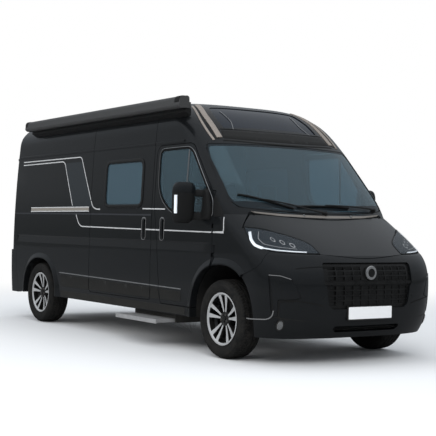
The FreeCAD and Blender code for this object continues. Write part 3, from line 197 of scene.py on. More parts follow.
def carried(path, out, profile, closed=False):
    """Solid of a closed profile carried along a path: its points are path + a * side
    + b * out for each profile pair (a, b), with side square to the path and to out."""
    path, out, profile = (np.asarray(v, float) for v in (path, out, profile))
    if closed:
        ahead = np.roll(path, -1, axis=0) - np.roll(path, 1, axis=0)
    else:
        ahead = np.gradient(path, axis=0)
    ahead /= np.linalg.norm(ahead, axis=1, keepdims=True)
    out = np.broadcast_to(out, path.shape)
    side = np.cross(ahead, out)
    side /= np.linalg.norm(side, axis=1, keepdims=True)
    out = np.cross(side, ahead)
    points = (path[:, None] + profile[None, :, :1] * side[:, None]
              + profile[None, :, 1:] * out[:, None])
    count, ring = len(path), len(profile)
    faces = grid_faces(count, ring, True, True) if closed else tube_faces(count, ring)
    return points.reshape(-1, 3), faces


def joined(parts):
    """One list of points and faces from several."""
    points, faces, first = [], [], 0
    for part_points, part_faces in parts:
        part_points = np.asarray(part_points).reshape(-1, 3)
        points.append(part_points)
        faces += [[i + first for i in f] for f in part_faces]
        first += len(part_points)
    return np.concatenate(points), faces


def rounded(before, corner, after, reach, share, count):
    """Quadratic curve round a corner: it starts that reach before the corner, or at a share
    of the shorter edge."""
    back, ahead = before - corner, after - corner
    back_run, ahead_run = np.linalg.norm(back), np.linalg.norm(ahead)
    reach = min(reach, back_run * share, ahead_run * share)
    start = corner + back / back_run * reach
    end = corner + ahead / ahead_run * reach
    t = np.linspace(0, 1, count)[:, None]
    return (1 - t) ** 2 * start + 2 * t * (1 - t) * corner + t ** 2 * end


def run_of(line):
    """Distance along a line at each of its points."""
    return np.concatenate([[0], np.cumsum(np.linalg.norm(np.diff(line, axis=0), axis=1))])


def at_marks(line, run, marks):
    """Points of a line at those distances along it."""
    return np.stack([np.interp(marks, run, line[:, k]) for k in range(line.shape[1])], axis=1)


def smooth_path(corners, radius, step=0.02):
    """Points along a run of corners, each rounded by a curve of that reach."""
    corners = np.asarray(corners, float)
    bends = [rounded(*three, radius, 0.5, 9)
             for three in zip(corners, corners[1:], corners[2:])]
    line = np.concatenate([corners[:1]] + bends + [corners[-1:]])
    run = run_of(line)
    marks = np.linspace(0, run[-1], max(2, int(run[-1] / step) + 1))
    return at_marks(line, run, np.unique(np.concatenate([marks, run])))


def closed_path(corners, radius, step=0.012):
    """Closed outline through (a, b) or (a, b, radius) corners, each rounded."""
    rows = np.array([c[:2] for c in corners], float)
    reach = [c[2] if len(c) > 2 else radius for c in corners]
    bends = [rounded(*four, 0.48, 7) for four in
             zip(np.roll(rows, 1, axis=0), rows, np.roll(rows, -1, axis=0), reach)]
    line = np.concatenate(bends + [bends[0][:1]])
    run = run_of(line)
    marks = np.linspace(0, run[-1], max(16, int(run[-1] / step)), endpoint=False)
    return at_marks(line, run, marks)


def circle(count):
    """Cosines and sines of that many even steps round a turn."""
    turn = np.linspace(0, 2 * math.pi, count, endpoint=False)
    return np.cos(turn), np.sin(turn)


def capsule(half_wide, half_high, steps=6, power=2.0):
    """Closed profile: a rounded bar of that half width and half height."""
    c, s = circle(4 * steps)
    size = (np.abs(c) ** power + np.abs(s) ** power) ** (1 / power)
    return np.stack([half_wide * c / size, half_high * s / size], axis=1)


def box_profile(low, high, bottom, top):
    return np.array([(low, bottom), (high, bottom), (high, top), (low, top)])


def revolved(profile, centre, side=1, steps=96, closed=True):
    """Solid of a closed (radius, y) profile turned about a line along Y."""
    profile = np.asarray(profile, float)
    c, s = circle(steps)
    points = np.stack([np.outer(c, profile[:, 0]),
                       np.broadcast_to(side * profile[:, 1], (steps, len(profile))),
                       np.outer(s, profile[:, 0])], axis=-1) + np.asarray(centre)
    faces = grid_faces(steps, len(profile), True, closed)
    return points.reshape(-1, 3), faces if side > 0 else [f[::-1] for f in faces]


# Materials
def put(tree, kind, inputs=None, **settings):
    """Shader node with its settings, its inputs given as values or as sockets to link."""
    made = tree.nodes.new(kind)
    for key, value in settings.items():
        setattr(made, key, value)
    for key, value in (inputs or {}).items():
        if isinstance(value, bpy.types.NodeSocket):
            tree.links.new(value, made.inputs[key])
        else:
            made.inputs[key].default_value = value
    return made


def feed(tree, shader, **sockets):
    """Links sockets into a shader's inputs, named with _ for spaces."""
    for key, socket in sockets.items():
        tree.links.new(socket, shader.inputs[key.replace("_", " ")])


def on_object(tree):
    return put(tree, "ShaderNodeTexCoord").outputs["Object"]


def noise_at(tree, place, scale, detail, **more):
    """Noise on those coordinates; its roughness and distortion may follow."""
    return put(tree, "ShaderNodeTexNoise",
               {"Vector": place, "Scale": scale, "Detail": detail, **more}).outputs["Fac"]


def blend(tree, factor, first, second, **settings):
    """Colour between two others."""
    return put(tree, "ShaderNodeMix", {"Factor": factor, 6: first, 7: second},
               data_type="RGBA", **settings).outputs[2]


def spread(tree, value, low, high, start=0.0, end=1.0, **settings):
    """Value between start and end brought between low and high."""
    return put(tree, "ShaderNodeMapRange",
               {"Value": value, "From Min": start, "From Max": end, "To Min": low,
                "To Max": high}, **settings).outputs[0]


def math_node(tree, operation, *values, **settings):
    return put(tree, "ShaderNodeMath", dict(enumerate(values)), operation=operation,
               **settings).outputs[0]


FLOAT, COLOUR = "NodeSocketFloat", "NodeSocketColor"


def start_group(name, takes, gives):
    """Node group with named inputs and outputs; returns it with its two ends' sockets."""
    group = bpy.data.node_groups.new(name, "ShaderNodeTree")
    for label, kind, value in takes:
        socket = group.interface.new_socket(name=label, in_out="INPUT", socket_type=kind)
        socket.default_value = value
    for label, kind in gives:
        group.interface.new_socket(name=label, in_out="OUTPUT", socket_type=kind)
    return (group, group.nodes.new("NodeGroupInput").outputs,
            group.nodes.new("NodeGroupOutput"))


def make_dust_group():
    """Road dust: colour and roughness shift that fades upwards from the ground, broken
    by noise."""
    group, takes, gives = start_group(
        "road_dust",
        [("Clean", COLOUR, (0.1, 0.1, 0.1, 1)), ("Dust", COLOUR, (0.16, 0.15, 0.13, 1)),
         ("Roughness", FLOAT, 0.3), ("Amount", FLOAT, 0.5), ("Top", FLOAT, 0.7)],
        [("Color", COLOUR), ("Roughness", FLOAT)])
    place = on_object(group)
    height = put(group, "ShaderNodeSeparateXYZ", {0: place}).outputs["Z"]
    fade = math_node(group, "SUBTRACT", 1.0, math_node(group, "DIVIDE", height, takes["Top"]),
                     use_clamp=True)
    patchy = math_node(group, "MULTIPLY", fade,
                       noise_at(group, place, 5.0, 5.0, Roughness=0.62))
    mask = math_node(group, "MULTIPLY", patchy, takes["Amount"])
    feed(group, gives, Color=blend(group, mask, takes["Clean"], takes["Dust"]),
         Roughness=math_node(group, "MULTIPLY_ADD", mask, 0.7, takes["Roughness"],
                             use_clamp=True))
    return group


def make_grain_group():
    """Moulded grain: fine cells broken by noise, as a height and a mask."""
    group, takes, gives = start_group(
        "moulded_grain", [("Scale", FLOAT, 900.0)], [("Height", FLOAT), ("Mask", FLOAT)])
    place = on_object(group)
    cells = put(group, "ShaderNodeTexVoronoi", {"Vector": place, "Scale": takes["Scale"]},
                feature="DISTANCE_TO_EDGE")
    feed(group, gives, Height=cells.outputs["Distance"],
         Mask=noise_at(group, place, 45.0, 4.0))
    return group


def make_weave_group():
    """Woven cloth: two sets of threads crossing, with a slow drift in colour."""
    group, takes, gives = start_group(
        "woven_cloth", [("Threads", FLOAT, 700.0)], [("Height", FLOAT), ("Drift", FLOAT)])
    place = on_object(group)
    axes = put(group, "ShaderNodeSeparateXYZ", {0: place}).outputs
    across = math_node(group, "ADD", axes["X"], axes["Z"])
    threads = [math_node(group, "SINE", math_node(group, "MULTIPLY", line, takes["Threads"]))
               for line in (across, axes["Y"])]
    weave = math_node(group, "MULTIPLY", *threads)
    feed(group, gives, Height=math_node(group, "MULTIPLY_ADD", weave, 0.5, 0.5),
         Drift=noise_at(group, place, 14.0, 3.0))
    return group


def make_wear_group():
    """Patchy wear: a colour between fresh and worn and a roughness that follows it."""
    group, takes, gives = start_group(
        "patchy_wear",
        [("Fresh", COLOUR, (0.1, 0.1, 0.1, 1)), ("Worn", COLOUR, (0.2, 0.2, 0.2, 1)),
         ("Scale", FLOAT, 8.0), ("Low roughness", FLOAT, 0.3), ("High roughness", FLOAT, 0.6)],
        [("Color", COLOUR), ("Roughness", FLOAT)])
    patches = noise_at(group, on_object(group), takes["Scale"], 6.0, Roughness=0.65)
    worn = spread(group, patches, 0.0, 1.0, 0.35, 0.7)
    feed(group, gives, Color=blend(group, worn, takes["Fresh"], takes["Worn"]),
         Roughness=spread(group, worn, takes["Low roughness"], takes["High roughness"]))
    return group


DUST, GRAIN, WEAVE, WEAR = (make_dust_group(), make_grain_group(), make_weave_group(),
                            make_wear_group())


def use(tree, group, **inputs):
    """Outputs of a node group placed with its inputs, written with _ for spaces."""
    return put(tree, "ShaderNodeGroup",
               {key.replace("_", " "): value for key, value in inputs.items()},
               node_tree=group).outputs


def start_material(name, **values):
    """Material with its main shader's plain values, named as its sockets with _ for spaces."""
    material = bpy.data.materials.new(name)
    material.use_nodes = True
    shader = material.node_tree.nodes["Principled BSDF"]
    for key, value in values.items():
        shader.inputs[key.replace("_", " ")].default_value = value
    return material, material.node_tree, shader


def add_bump(tree, shader, height, strength, distance):
    bump = put(tree, "ShaderNodeBump",
               {"Height": height, "Strength": strength, "Distance": distance})
    tree.links.new(bump.outputs["Normal"], shader.inputs["Normal"])


def grey(level):
    return (level, level, level, 1.0)


def vehicle_paint(name, colour, top=0.75):
    """Metallic paint under clear coat: flakes in random cells and road dust low down."""
    material, tree, shader = start_material(name, Metallic=0.35, Coat_Weight=0.5,
                                            Coat_Roughness=0.03, Specular_IOR_Level=0.15)
    flakes = put(tree, "ShaderNodeTexVoronoi", {"Vector": on_object(tree), "Scale": 1400.0})
    level = spread(tree, flakes.outputs["Color"], 0.75, 1.35)
    tint = blend(tree, 1.0, colour, level, blend_type="MULTIPLY")
    dusty = use(tree, DUST, Clean=tint, Dust=(0.05, 0.049, 0.045, 1), Amount=0.12,
                Roughness=0.36, Top=top)
    feed(tree, shader, Base_Color=dusty["Color"], Roughness=dusty["Roughness"])
    return material


def moulded(name, colour, roughness=0.5, grain=0.25, dust=0.3, gloss=0.2, scale=700.0):
    """Grained moulding with uneven sheen and dust low down."""
    material, tree, shader = start_material(name, Specular_IOR_Level=gloss)
    grained = use(tree, GRAIN, Scale=scale)
    uneven = 0.03 + 0.3 * grain
    rough = spread(tree, grained["Mask"], roughness - uneven, roughness + uneven)
    dusty = use(tree, DUST, Clean=colour, Roughness=rough, Amount=dust)
    feed(tree, shader, Base_Color=dusty["Color"], Roughness=dusty["Roughness"])
    add_bump(tree, shader, grained["Height"], grain, 0.0004)
    return material


def metal(name, fresh, worn, low=0.2, high=0.45, metallic=1.0):
    """Bare or plated metal with patchy wear."""
    material, tree, shader = start_material(name, Metallic=metallic)
    wear = use(tree, WEAR, Fresh=fresh, Worn=worn, Scale=9.0, Low_roughness=low,
               High_roughness=high)
    feed(tree, shader, Base_Color=wear["Color"], Roughness=wear["Roughness"])
    return material


def cloth(name, colour, light):
    """Woven cloth with a soft sheen and a slow drift between two shades."""
    material, tree, shader = start_material(name, Roughness=0.85, Sheen_Weight=0.35)
    weave = use(tree, WEAVE, Threads=900.0)
    feed(tree, shader, Base_Color=blend(tree, weave["Drift"], colour, light))
    add_bump(tree, shader, weave["Height"], 0.35, 0.0006)
    return material


def glass(name, colour, smear=0.03, clear=1.0):
    """Tinted pane with a faint uneven smear in its gloss; what is not clear is body tint, which
    on the side windows also holds a painted sky reflection.
    """
    material, tree, shader = start_material(name, Base_Color=colour, IOR=1.45,
                                            Transmission_Weight=clear)
    streaks = noise_at(tree, on_object(tree), 3.0, 4.0)
    feed(tree, shader, Roughness=spread(tree, streaks, 0.0, smear))
    return material


def board(name, colour, light):
    """Laminated board: long soft grain and a satin face."""
    material, tree, shader = start_material(name)
    stretched = put(tree, "ShaderNodeMapping",
                    {"Vector": on_object(tree), "Scale": (9.0, 9.0, 0.9)}).outputs[0]
    grain = noise_at(tree, stretched, 6.0, 6.0, Distortion=1.2)
    feed(tree, shader, Base_Color=blend(tree, grain, colour, light),
         Roughness=spread(tree, grain, 0.3, 0.5))
    return material


def tyre_rubber():
    """Tyre rubber: matt, dusty in patches and finely grained."""
    material, tree, shader = start_material("tyre_rubber", Specular_IOR_Level=0.2)
    wear = use(tree, WEAR, Fresh=grey(0.008), Worn=(0.020, 0.0185, 0.0165, 1), Scale=22.0,
               Low_roughness=0.6, High_roughness=0.85)
    feed(tree, shader, Base_Color=wear["Color"], Roughness=wear["Roughness"])
    add_bump(tree, shader, use(tree, GRAIN, Scale=1100.0)["Height"], 0.25, 0.0003)
    return material


def machined_alloy():
    """Bright turned faces of an alloy wheel under a thin clear coat."""
    material, tree, shader = start_material("machined_alloy", Metallic=0.55, Coat_Weight=0.5,
                                            Coat_Roughness=0.05)
    marks = noise_at(tree, on_object(tree), 60.0, 3.0)
    feed(tree, shader, Base_Color=blend(tree, marks, grey(0.56), grey(0.70)),
         Roughness=spread(tree, marks, 0.28, 0.42))
    return material


BADGE_X, BADGE_Z, BADGE_R, BADGE_FACE = 2.999, 0.833, 0.0555, 2.9935


def grille_finish():
    """Gloss black moulding with a bright ring on the badge."""
    material, tree, shader = start_material("grille_moulding", Specular_IOR_Level=0.25)
    centred = put(tree, "ShaderNodeMapping", {"Vector": on_object(tree),
                                              "Location": (-BADGE_X, 0.0, -BADGE_Z)})
    axes = put(tree, "ShaderNodeSeparateXYZ", {0: centred.outputs[0]}).outputs
    flat = put(tree, "ShaderNodeCombineXYZ", {"Y": axes["Y"], "Z": axes["Z"]})
    reach = put(tree, "ShaderNodeVectorMath", {0: flat.outputs[0]},
                operation="LENGTH").outputs["Value"]
    past_inner = spread(tree, reach, 0.0, 1.0, 0.040, 0.042)
    before_outer = spread(tree, reach, 0.0, 1.0, 0.066, 0.064)
    front = spread(tree, axes["X"], 0.0, 1.0, -0.016, -0.014)
    bright = math_node(tree, "MULTIPLY",
                       math_node(tree, "MULTIPLY", past_inner, before_outer), front)
    wear = use(tree, WEAR, Fresh=grey(0.005), Worn=grey(0.010), Scale=14.0,
               Low_roughness=0.25, High_roughness=0.4)
    feed(tree, shader, Base_Color=blend(tree, bright, wear["Color"], grey(0.70)),
         Metallic=bright, Roughness=wear["Roughness"])
    return material


PAINT = vehicle_paint("anthracite_paint", (0.0085, 0.0095, 0.0105, 1))
BUMPER = vehicle_paint("bumper_paint", (0.0080, 0.0090, 0.0100, 1), top=0.9)
SLATE = vehicle_paint("slate_film", (0.022, 0.027, 0.031, 1))
NAVY_GLASS = glass("roof_glass", (0.004, 0.008, 0.016, 1), clear=0.25)
BLACK_GLOSS = moulded("gloss_black_moulding", grey(0.006), 0.16, 0.02, dust=0.1, gloss=0.45)
BLACK_TRIM = moulded("black_grained_moulding", grey(0.010), 0.5, 0.3)
GREY_TRIM = moulded("grey_cladding", (0.011, 0.011, 0.0105, 1), 0.45)
RUBBER = moulded("seal_rubber", grey(0.005), 0.6, 0.1)
# Pale grey for painted highlights: rims of the pull pockets and edge lines of the bumper
EDGE_HIGHLIGHT = moulded("painted_edge_highlight", grey(0.15), 0.35, 0.05, dust=0.0)
# Lighter grey along the belt edge: a painted highlight where the upper flank turns in
BELT_HIGHLIGHT = moulded("belt_edge_highlight", (0.030, 0.032, 0.036, 1), 0.3, 0.05, dust=0.0)
RAIL_CORE = moulded("rail_core", (0.22, 0.20, 0.175, 1), 0.4, dust=0.1)
RAIL_PALE = moulded("pale_rail", (0.24, 0.21, 0.185, 1), 0.4, 0.1, dust=0.0)
PRINT = moulded("screen_print", (0.012, 0.016, 0.019, 1), 0.15, 0.0, dust=0.0)
SCUTTLE = moulded("scuttle_moulding", (0.17, 0.155, 0.14, 1), 0.5, 0.3, dust=0.0)
PLATE = moulded("blank_plate", grey(0.78), 0.35, 0.03, dust=0.0)
DASH = moulded("dash_moulding", grey(0.02), 0.6, 0.3, dust=0.0)
LAMP_BLACK = moulded("lamp_housing", (0.016, 0.021, 0.027, 1), 0.2, 0.01, dust=0.0, scale=40.0)
GUIDE = moulded("lamp_guide", (0.82, 0.86, 0.90, 1), 0.2, 0.02, dust=0.0)
COVER = moulded("lamp_cover", (0.05, 0.06, 0.065, 1), 0.12, 0.0, dust=0.0, gloss=0.5)
COVER.node_tree.nodes["Principled BSDF"].inputs["Alpha"].default_value = 0.14
STEEL = metal("bare_steel", grey(0.38), (0.20, 0.15, 0.12, 1), 0.3, 0.65)
CHROME = metal("bright_trim", grey(0.78), grey(0.62), 0.08, 0.2)
SILVER = metal("silver_stripe_film", grey(0.62), grey(0.55), 0.3, 0.4, 0.25)
MIRROR = metal("mirror_glass", grey(0.86), grey(0.80), 0.02, 0.05)
SATIN = metal("satin_bar", grey(0.50), grey(0.42), 0.3, 0.42)
SEAT_CLOTH = cloth("seat_cloth", grey(0.06), grey(0.11))
MATTRESS = cloth("mattress_cloth", (0.50, 0.47, 0.42, 1), (0.60, 0.57, 0.51, 1))
TYRE, ALLOY = tyre_rubber(), machined_alloy()

FINISHES = {
    "body_paint": PAINT, "bumper_paint": BUMPER, "grille_black": BLACK_GLOSS,
    "trim_black": BLACK_TRIM, "tyre": TYRE, "alloy": ALLOY, "steel": STEEL,
    "dash_black": DASH, "seat_cloth": SEAT_CLOTH, "mattress_cloth": MATTRESS,
    # Light bluish side-window glass: its own tint with a painted sky reflection in it
    "glass_tinted": glass("tinted_glass_painted_sky", (0.070, 0.122, 0.155, 1), clear=0.45),
    "glass_clear": glass("clear_glass", (0.19, 0.32, 0.39, 1), clear=0.88),
    "lamp_glass": glass("lamp_lens_glass", (0.93, 0.95, 0.96, 1), smear=0.01),
    "lamp_red": glass("red_lamp_lens", (0.55, 0.015, 0.02, 1), smear=0.05),
    "awning_dark": moulded("awning_case", grey(0.045), 0.4, 0.1, dust=0.2),
    "chassis_black": moulded("chassis_coating", grey(0.014), 0.6, 0.2, dust=0.5),
    "engine_iron": metal("cast_iron", grey(0.16), (0.12, 0.08, 0.06, 1), 0.5, 0.8, 0.8),
    "tank_grey": moulded("tank_moulding", grey(0.18), 0.55, dust=0.8),
    "cabinet_board": board("pale_cabinet_board", (0.50, 0.44, 0.36, 1),
                           (0.60, 0.54, 0.45, 1)),
    "step_metal": metal("ribbed_step_metal", grey(0.50), grey(0.38), 0.3, 0.5, 0.5),
    "floor_vinyl": board("floor_vinyl", (0.10, 0.075, 0.055, 1), (0.17, 0.13, 0.10, 1))}
NODE_FINISHES = {"grille": grille_finish(), "headlamps": LAMP_BLACK, "roof_window": NAVY_GLASS}

# Looks used more than once: slot and material
TRIM, SEAL = ("trim_black", BLACK_TRIM), ("trim_black", RUBBER)
CLADDING, PALE = ("trim_black", GREY_TRIM), ("trim_black", RAIL_PALE)
GLOSS, GLOSS_TRIM = ("grille_black", BLACK_GLOSS), ("trim_black", BLACK_GLOSS)
BRIGHT, SATIN_BAR, STRIPES = ("alloy", CHROME), ("alloy", SATIN), ("alloy", SILVER)
PAINTED, BLANK = ("body_paint", PAINT), ("body_paint", PLATE)
CLOTH = ("seat_cloth", SEAT_CLOTH)
SIDES = (("right", -1), ("left", 1))


# Panels of each flank, as (body, x range by height); the cab door's rear seam leans
DOOR_REAR = ((0.44, 0.936), (0.95, 0.868), (1.073, 0.852), (1.30, 0.805), (1.50, 0.786))
DOOR_FRONT, SLIDE_FRONT, SLIDE_REAR, SEAM = 1.868, 0.730, -0.650, 0.007
HANDLE_Z, HANDLE_X, HANDLE_HALF = 1.195, (0.577, 0.950), 0.046
QUARTER_REAR = -2.790


def door_rear_x(z):
    return float(np.interp(z, *zip(*DOOR_REAR)))


def panels(side, z):
    """(body, rear x, front x) of every panel that a level line crosses on one flank."""
    door = "door_front_right" if side < 0 else "door_front_left"
    pillar = door_rear_x(z) - SEAM
    rows = [(door, door_rear_x(z), DOOR_FRONT - SEAM), ("body", DOOR_FRONT + 3 * SEAM, 2.080)]
    if side < 0 and 0.46 < z < 2.375:
        rows = [("body", QUARTER_REAR, SLIDE_REAR - SEAM), ("body", SLIDE_REAR, SLIDE_FRONT),
                ("body", SLIDE_FRONT + SEAM, pillar)] + rows
    else:
        rows = [("body", QUARTER_REAR, pillar)] + rows
    for middle in HANDLE_X[0 if side < 0 else 1:]:
        if abs(z - HANDLE_Z) < 0.11:
            rows = [cut for body, low, high in rows for cut in (
                [(body, low, middle - HANDLE_HALF), (body, middle + HANDLE_HALF, high)]
                if low < middle < high else [(body, low, high)])]
    return rows


def clipped(path, low, high):
    """Stretch of an (x, z) path between two x values, or None where it has none."""
    path = path if path[0, 0] < path[-1, 0] else path[::-1]
    keep = (path[:, 0] > low) & (path[:, 0] < high)
    if keep.sum() < 2:
        return None
    ends = [np.array([[x, np.interp(x, path[:, 0], path[:, 1])]]) for x in
            (max(low, path[0, 0]), min(high, path[-1, 0]))]
    return np.concatenate([ends[0], path[keep], ends[1]])


def flank_line(name, side, corners, profile, look, radius=0.05, lift=0.0):
    """Profile carried along a line of the flank, cut at every seam it crosses.
    Profile pairs are (down the flank, outwards), in metres from the skin."""
    path = smooth_path(corners, radius)
    path = path if path[0, 0] <= path[-1, 0] else path[::-1]
    shape = np.asarray(profile, float)
    shape = shape if side < 0 else (shape * (-1, 1))[::-1]
    groups = {}
    for body, low, high in panels(side, float(path[:, 1].mean())):
        part = clipped(path, low, high)
        if part is None or part[-1, 0] - part[0, 0] < 0.004:
            continue
        centre = side_skin(part[:, 0], part[:, 1], side, lift)
        slope = (half_width(part[:, 1] + 0.01) - half_width(part[:, 1] - 0.01)) / 0.02
        out = np.stack([np.zeros(len(part)), np.full(len(part), float(side)), -slope], axis=1)
        out /= np.linalg.norm(out, axis=1, keepdims=True)
        groups.setdefault(body, []).append(carried(centre, out, shape))
    for body, parts in groups.items():
        add_piece("%s_%s_%s" % (name, "right" if side < 0 else "left", body), *joined(parts),
                  body, look, fix=False)


def film(width, thick=0.0011):
    """Profile of a thin film or line of that width, rooted just under the skin."""
    return box_profile(-width / 2, width / 2, -0.0015, thick)


STRIPE = 0.012
SLOPE_OUTER = [(-2.637, 2.015), (-0.999, 2.013), (-0.954, 1.997), (-0.611, 1.431),
               (-0.524, 1.400), (-0.420, 1.400)]
SLOPE_INNER = [(-2.635, 1.976), (-1.451, 1.977), (-1.395, 1.953), (-1.127, 1.445)]
LOWER_LINE = [(-1.019, 1.338), (-0.945, 1.235), (-0.875, 1.201), (0.0, 1.191), (2.068, 1.172)]
AFTER_WINDOW = [(0.540, 1.402), (1.000, 1.396)]
BELT_LINE = [(-2.780, 1.353), (-0.919, 1.347), (0.722, 1.336)]
RAIL, RAIL_EDGE = [(-2.300, 1.400), (-0.700, 1.402)], 0.023
# Slate field: heights, then x and z of a point of each sloping edge and its lean
FIELD_Z = (1.432, 1.955)
FIELD_REAR, FIELD_FRONT, FIELD_MARGIN = (-1.127, 1.445, 0.528), (-0.611, 1.431, 0.606), 0.010


def add_stripes(name, side):
    """Silver lines of the flank, the painted highlight along the belt edge, the slate field
    between them and the rail cover.
    """
    for label, corners in (("outer", SLOPE_OUTER), ("inner", SLOPE_INNER),
                           ("lower", LOWER_LINE), ("after_window", AFTER_WINDOW)):
        flank_line("stripe_" + label, side, corners, film(STRIPE), STRIPES)
    # Raised strip on the belt edge in that lighter grey: a painted highlight
    flank_line("belt_edge_highlight", side, BELT_LINE,
               box_profile(-0.008, 0.008, -0.002, 0.003), ("body_paint", BELT_HIGHLIGHT))
    rows, columns = 40, 12
    v = np.linspace(0, 1, columns)[None, :]
    z = np.linspace(*FIELD_Z, rows)[:, None] + 0 * v
    rear, front = (x0 - (z - z0) * lean for x0, z0, lean in (FIELD_REAR, FIELD_FRONT))
    rear, front = rear + FIELD_MARGIN, front - FIELD_MARGIN
    faces = grid_faces(rows, columns)
    add_piece("slate_field_" + name, side_skin(rear + (front - rear) * v, z, side, 0.0007),
              faces if side < 0 else [f[::-1] for f in faces], "body", ("body_paint", SLATE),
              fix=False)
    flank_line("rail_cover", side, RAIL, box_profile(-0.019, 0.019, -0.002, 0.004),
               ("trim_black", RAIL_CORE))
    for shift, label in ((-RAIL_EDGE, "low"), (RAIL_EDGE, "high")):
        flank_line("rail_edge_" + label, side, [(x, z + shift) for x, z in RAIL],
                   box_profile(-0.0055, 0.0055, -0.002, 0.006), STRIPES)


# Wheels
FRONT_X, REAR_X, WHEEL_Y, TYRE_R = 2.051, -1.984, 0.895, 0.369
WHEELS = [(end, name, x, side) for end, x in (("front", FRONT_X), ("rear", REAR_X))
          for name, side in SIDES]
TREAD_HALF, TREAD_DEPTH, TREAD_BLOCKS = 0.082, 0.0075, 72
GROOVES, GROOVE_HALF = (-0.058, -0.020, 0.020, 0.058), 0.003
SIDEWALL = [(0.2352, -0.0940), (0.2430, -0.0945), (0.2490, -0.0952), (0.2560, -0.1010),
            (0.2640, -0.1100), (0.2680, -0.1130), (0.2715, -0.1115), (0.2800, -0.1160),
            (0.3000, -0.1215), (0.3180, -0.1222), (0.3330, -0.1195), (0.3345, -0.1205),
            (0.3370, -0.1203), (0.3385, -0.1178), (0.3500, -0.1100), (0.3590, -0.0990),
            (0.3645, -0.0880)]


def add_tyre(end, name, x, side):
    """Tyre as radius and width over the angle and the way across: the tread sinks by four
    long grooves and by slanted cross grooves that deepen towards the shoulders."""
    wall = np.array(SIDEWALL)
    tread_y = np.linspace(-TREAD_HALF, TREAD_HALF, 61)
    crown = TYRE_R - 0.0045 * (np.abs(tread_y) / TREAD_HALF) ** 3
    profile = np.concatenate([wall, np.stack([crown, tread_y], axis=1), wall[::-1] * (1, -1)])
    steps = 360
    turn = np.linspace(0, 2 * math.pi, steps, endpoint=False)[:, None]
    r, y = profile[None, :, 0], profile[None, :, 1]
    across = np.abs(y)
    long_groove = np.max([1 - np.clip((np.abs(y - line) - GROOVE_HALF) / 0.0018, 0, 1)
                          for line in GROOVES], axis=0)
    slant = TREAD_BLOCKS * (turn + 2.2 * across ** 1.5 * np.sign(y) + 0.02 * np.sin(60 * y))
    cross = np.clip((np.cos(slant) - 0.62) * 5, 0, 1) * np.clip((across - 0.024) / 0.01, 0, 1)
    cross = cross * np.clip((0.112 - across) / 0.02, 0, 1)
    on_tread = np.clip((r - 0.340) / 0.02, 0, 1)
    radius = r - TREAD_DEPTH * np.maximum(long_groove, 0.8 * cross) * on_tread
    points = np.stack([x + radius * np.cos(turn), side * (WHEEL_Y + y) + 0 * turn,
                       TYRE_R + radius * np.sin(turn)], axis=-1)
    faces = grid_faces(steps, len(profile), True, True)
    label = "%s_%s" % (end, name)
    piece = add_piece("tread_" + label, points, faces if side > 0 else [f[::-1] for f in faces],
                      "wheel_" + label, ("tyre", TYRE), sharp=35, fix=False)
    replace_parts(piece, "tyre_" + label)


RIM_R = 0.2347
RIM_WELL = [(0.012, -0.1025), (0.012, -0.0955), (0.0, -0.0925), (0.0, -0.0625),
            (-0.024, -0.0425), (-0.024, 0.0125), (0.0, 0.0325), (0.0, 0.0925),
            (0.012, 0.0955), (0.012, 0.1012), (0.002, 0.1012), (-0.010, 0.0885),
            (-0.012, 0.0345), (-0.034, 0.0145), (-0.034, -0.0445), (-0.012, -0.0645),
            (-0.012, -0.0885), (0.002, -0.1025)]
RIM_LIP = [(-0.0085, 0.0905), (0.0020, 0.1014), (0.0115, 0.1014), (0.0115, 0.1024),
           (-0.0020, 0.1024), (-0.0110, 0.0925)]
HUB = [(0.0310, -0.030), (0.150, -0.030), (0.150, -0.004), (0.084, -0.004), (0.078, 0.040),
       (0.072, 0.062), (0.062, 0.072), (0.0310, 0.074)]


def spoke_rows(angle, x, side):
    """Frames along one spoke: centre points, the way across and half widths; the face
    bows outwards as the square of the reach and the width grows with its 1.3th power."""
    reach = np.linspace(0, 1, 22)
    r = 0.050 + 0.1845 * reach
    half = 0.0085 + 0.0165 * reach ** 1.3
    face = WHEEL_Y + 0.066 + 0.0285 * reach ** 1.6
    c, s = math.cos(angle), math.sin(angle)
    centre = np.stack([x + r * c, side * face, TYRE_R + r * s], axis=1)
    return centre, np.array([-s, 0.0, c]), half


SPOKE = [(-1, -0.030), (1, -0.030), (1, -0.0016), (0.94, 0.0), (-0.94, 0.0), (-1, -0.0016)]
SPOKE_FACE = [(-0.90, -0.001), (0.90, -0.001), (0.90, 0.0006), (-0.90, 0.0006)]
CAP = [(0.018, 0.0115), (0.027, 0.009), (0.030, 0.004), (0.030, -0.004)]
BOLT = [(0.004, 0.006), (0.0095, 0.006), (0.0105, 0.003), (0.0105, -0.010), (0.004, -0.010)]
BOLT_COUNT, BOLT_REACH, SPOKE_PAIRS, PAIR_LEAN = 5, 0.047, 5, 13.0
CAP_OUT, CAP_HIGH = 0.0745, 0.012


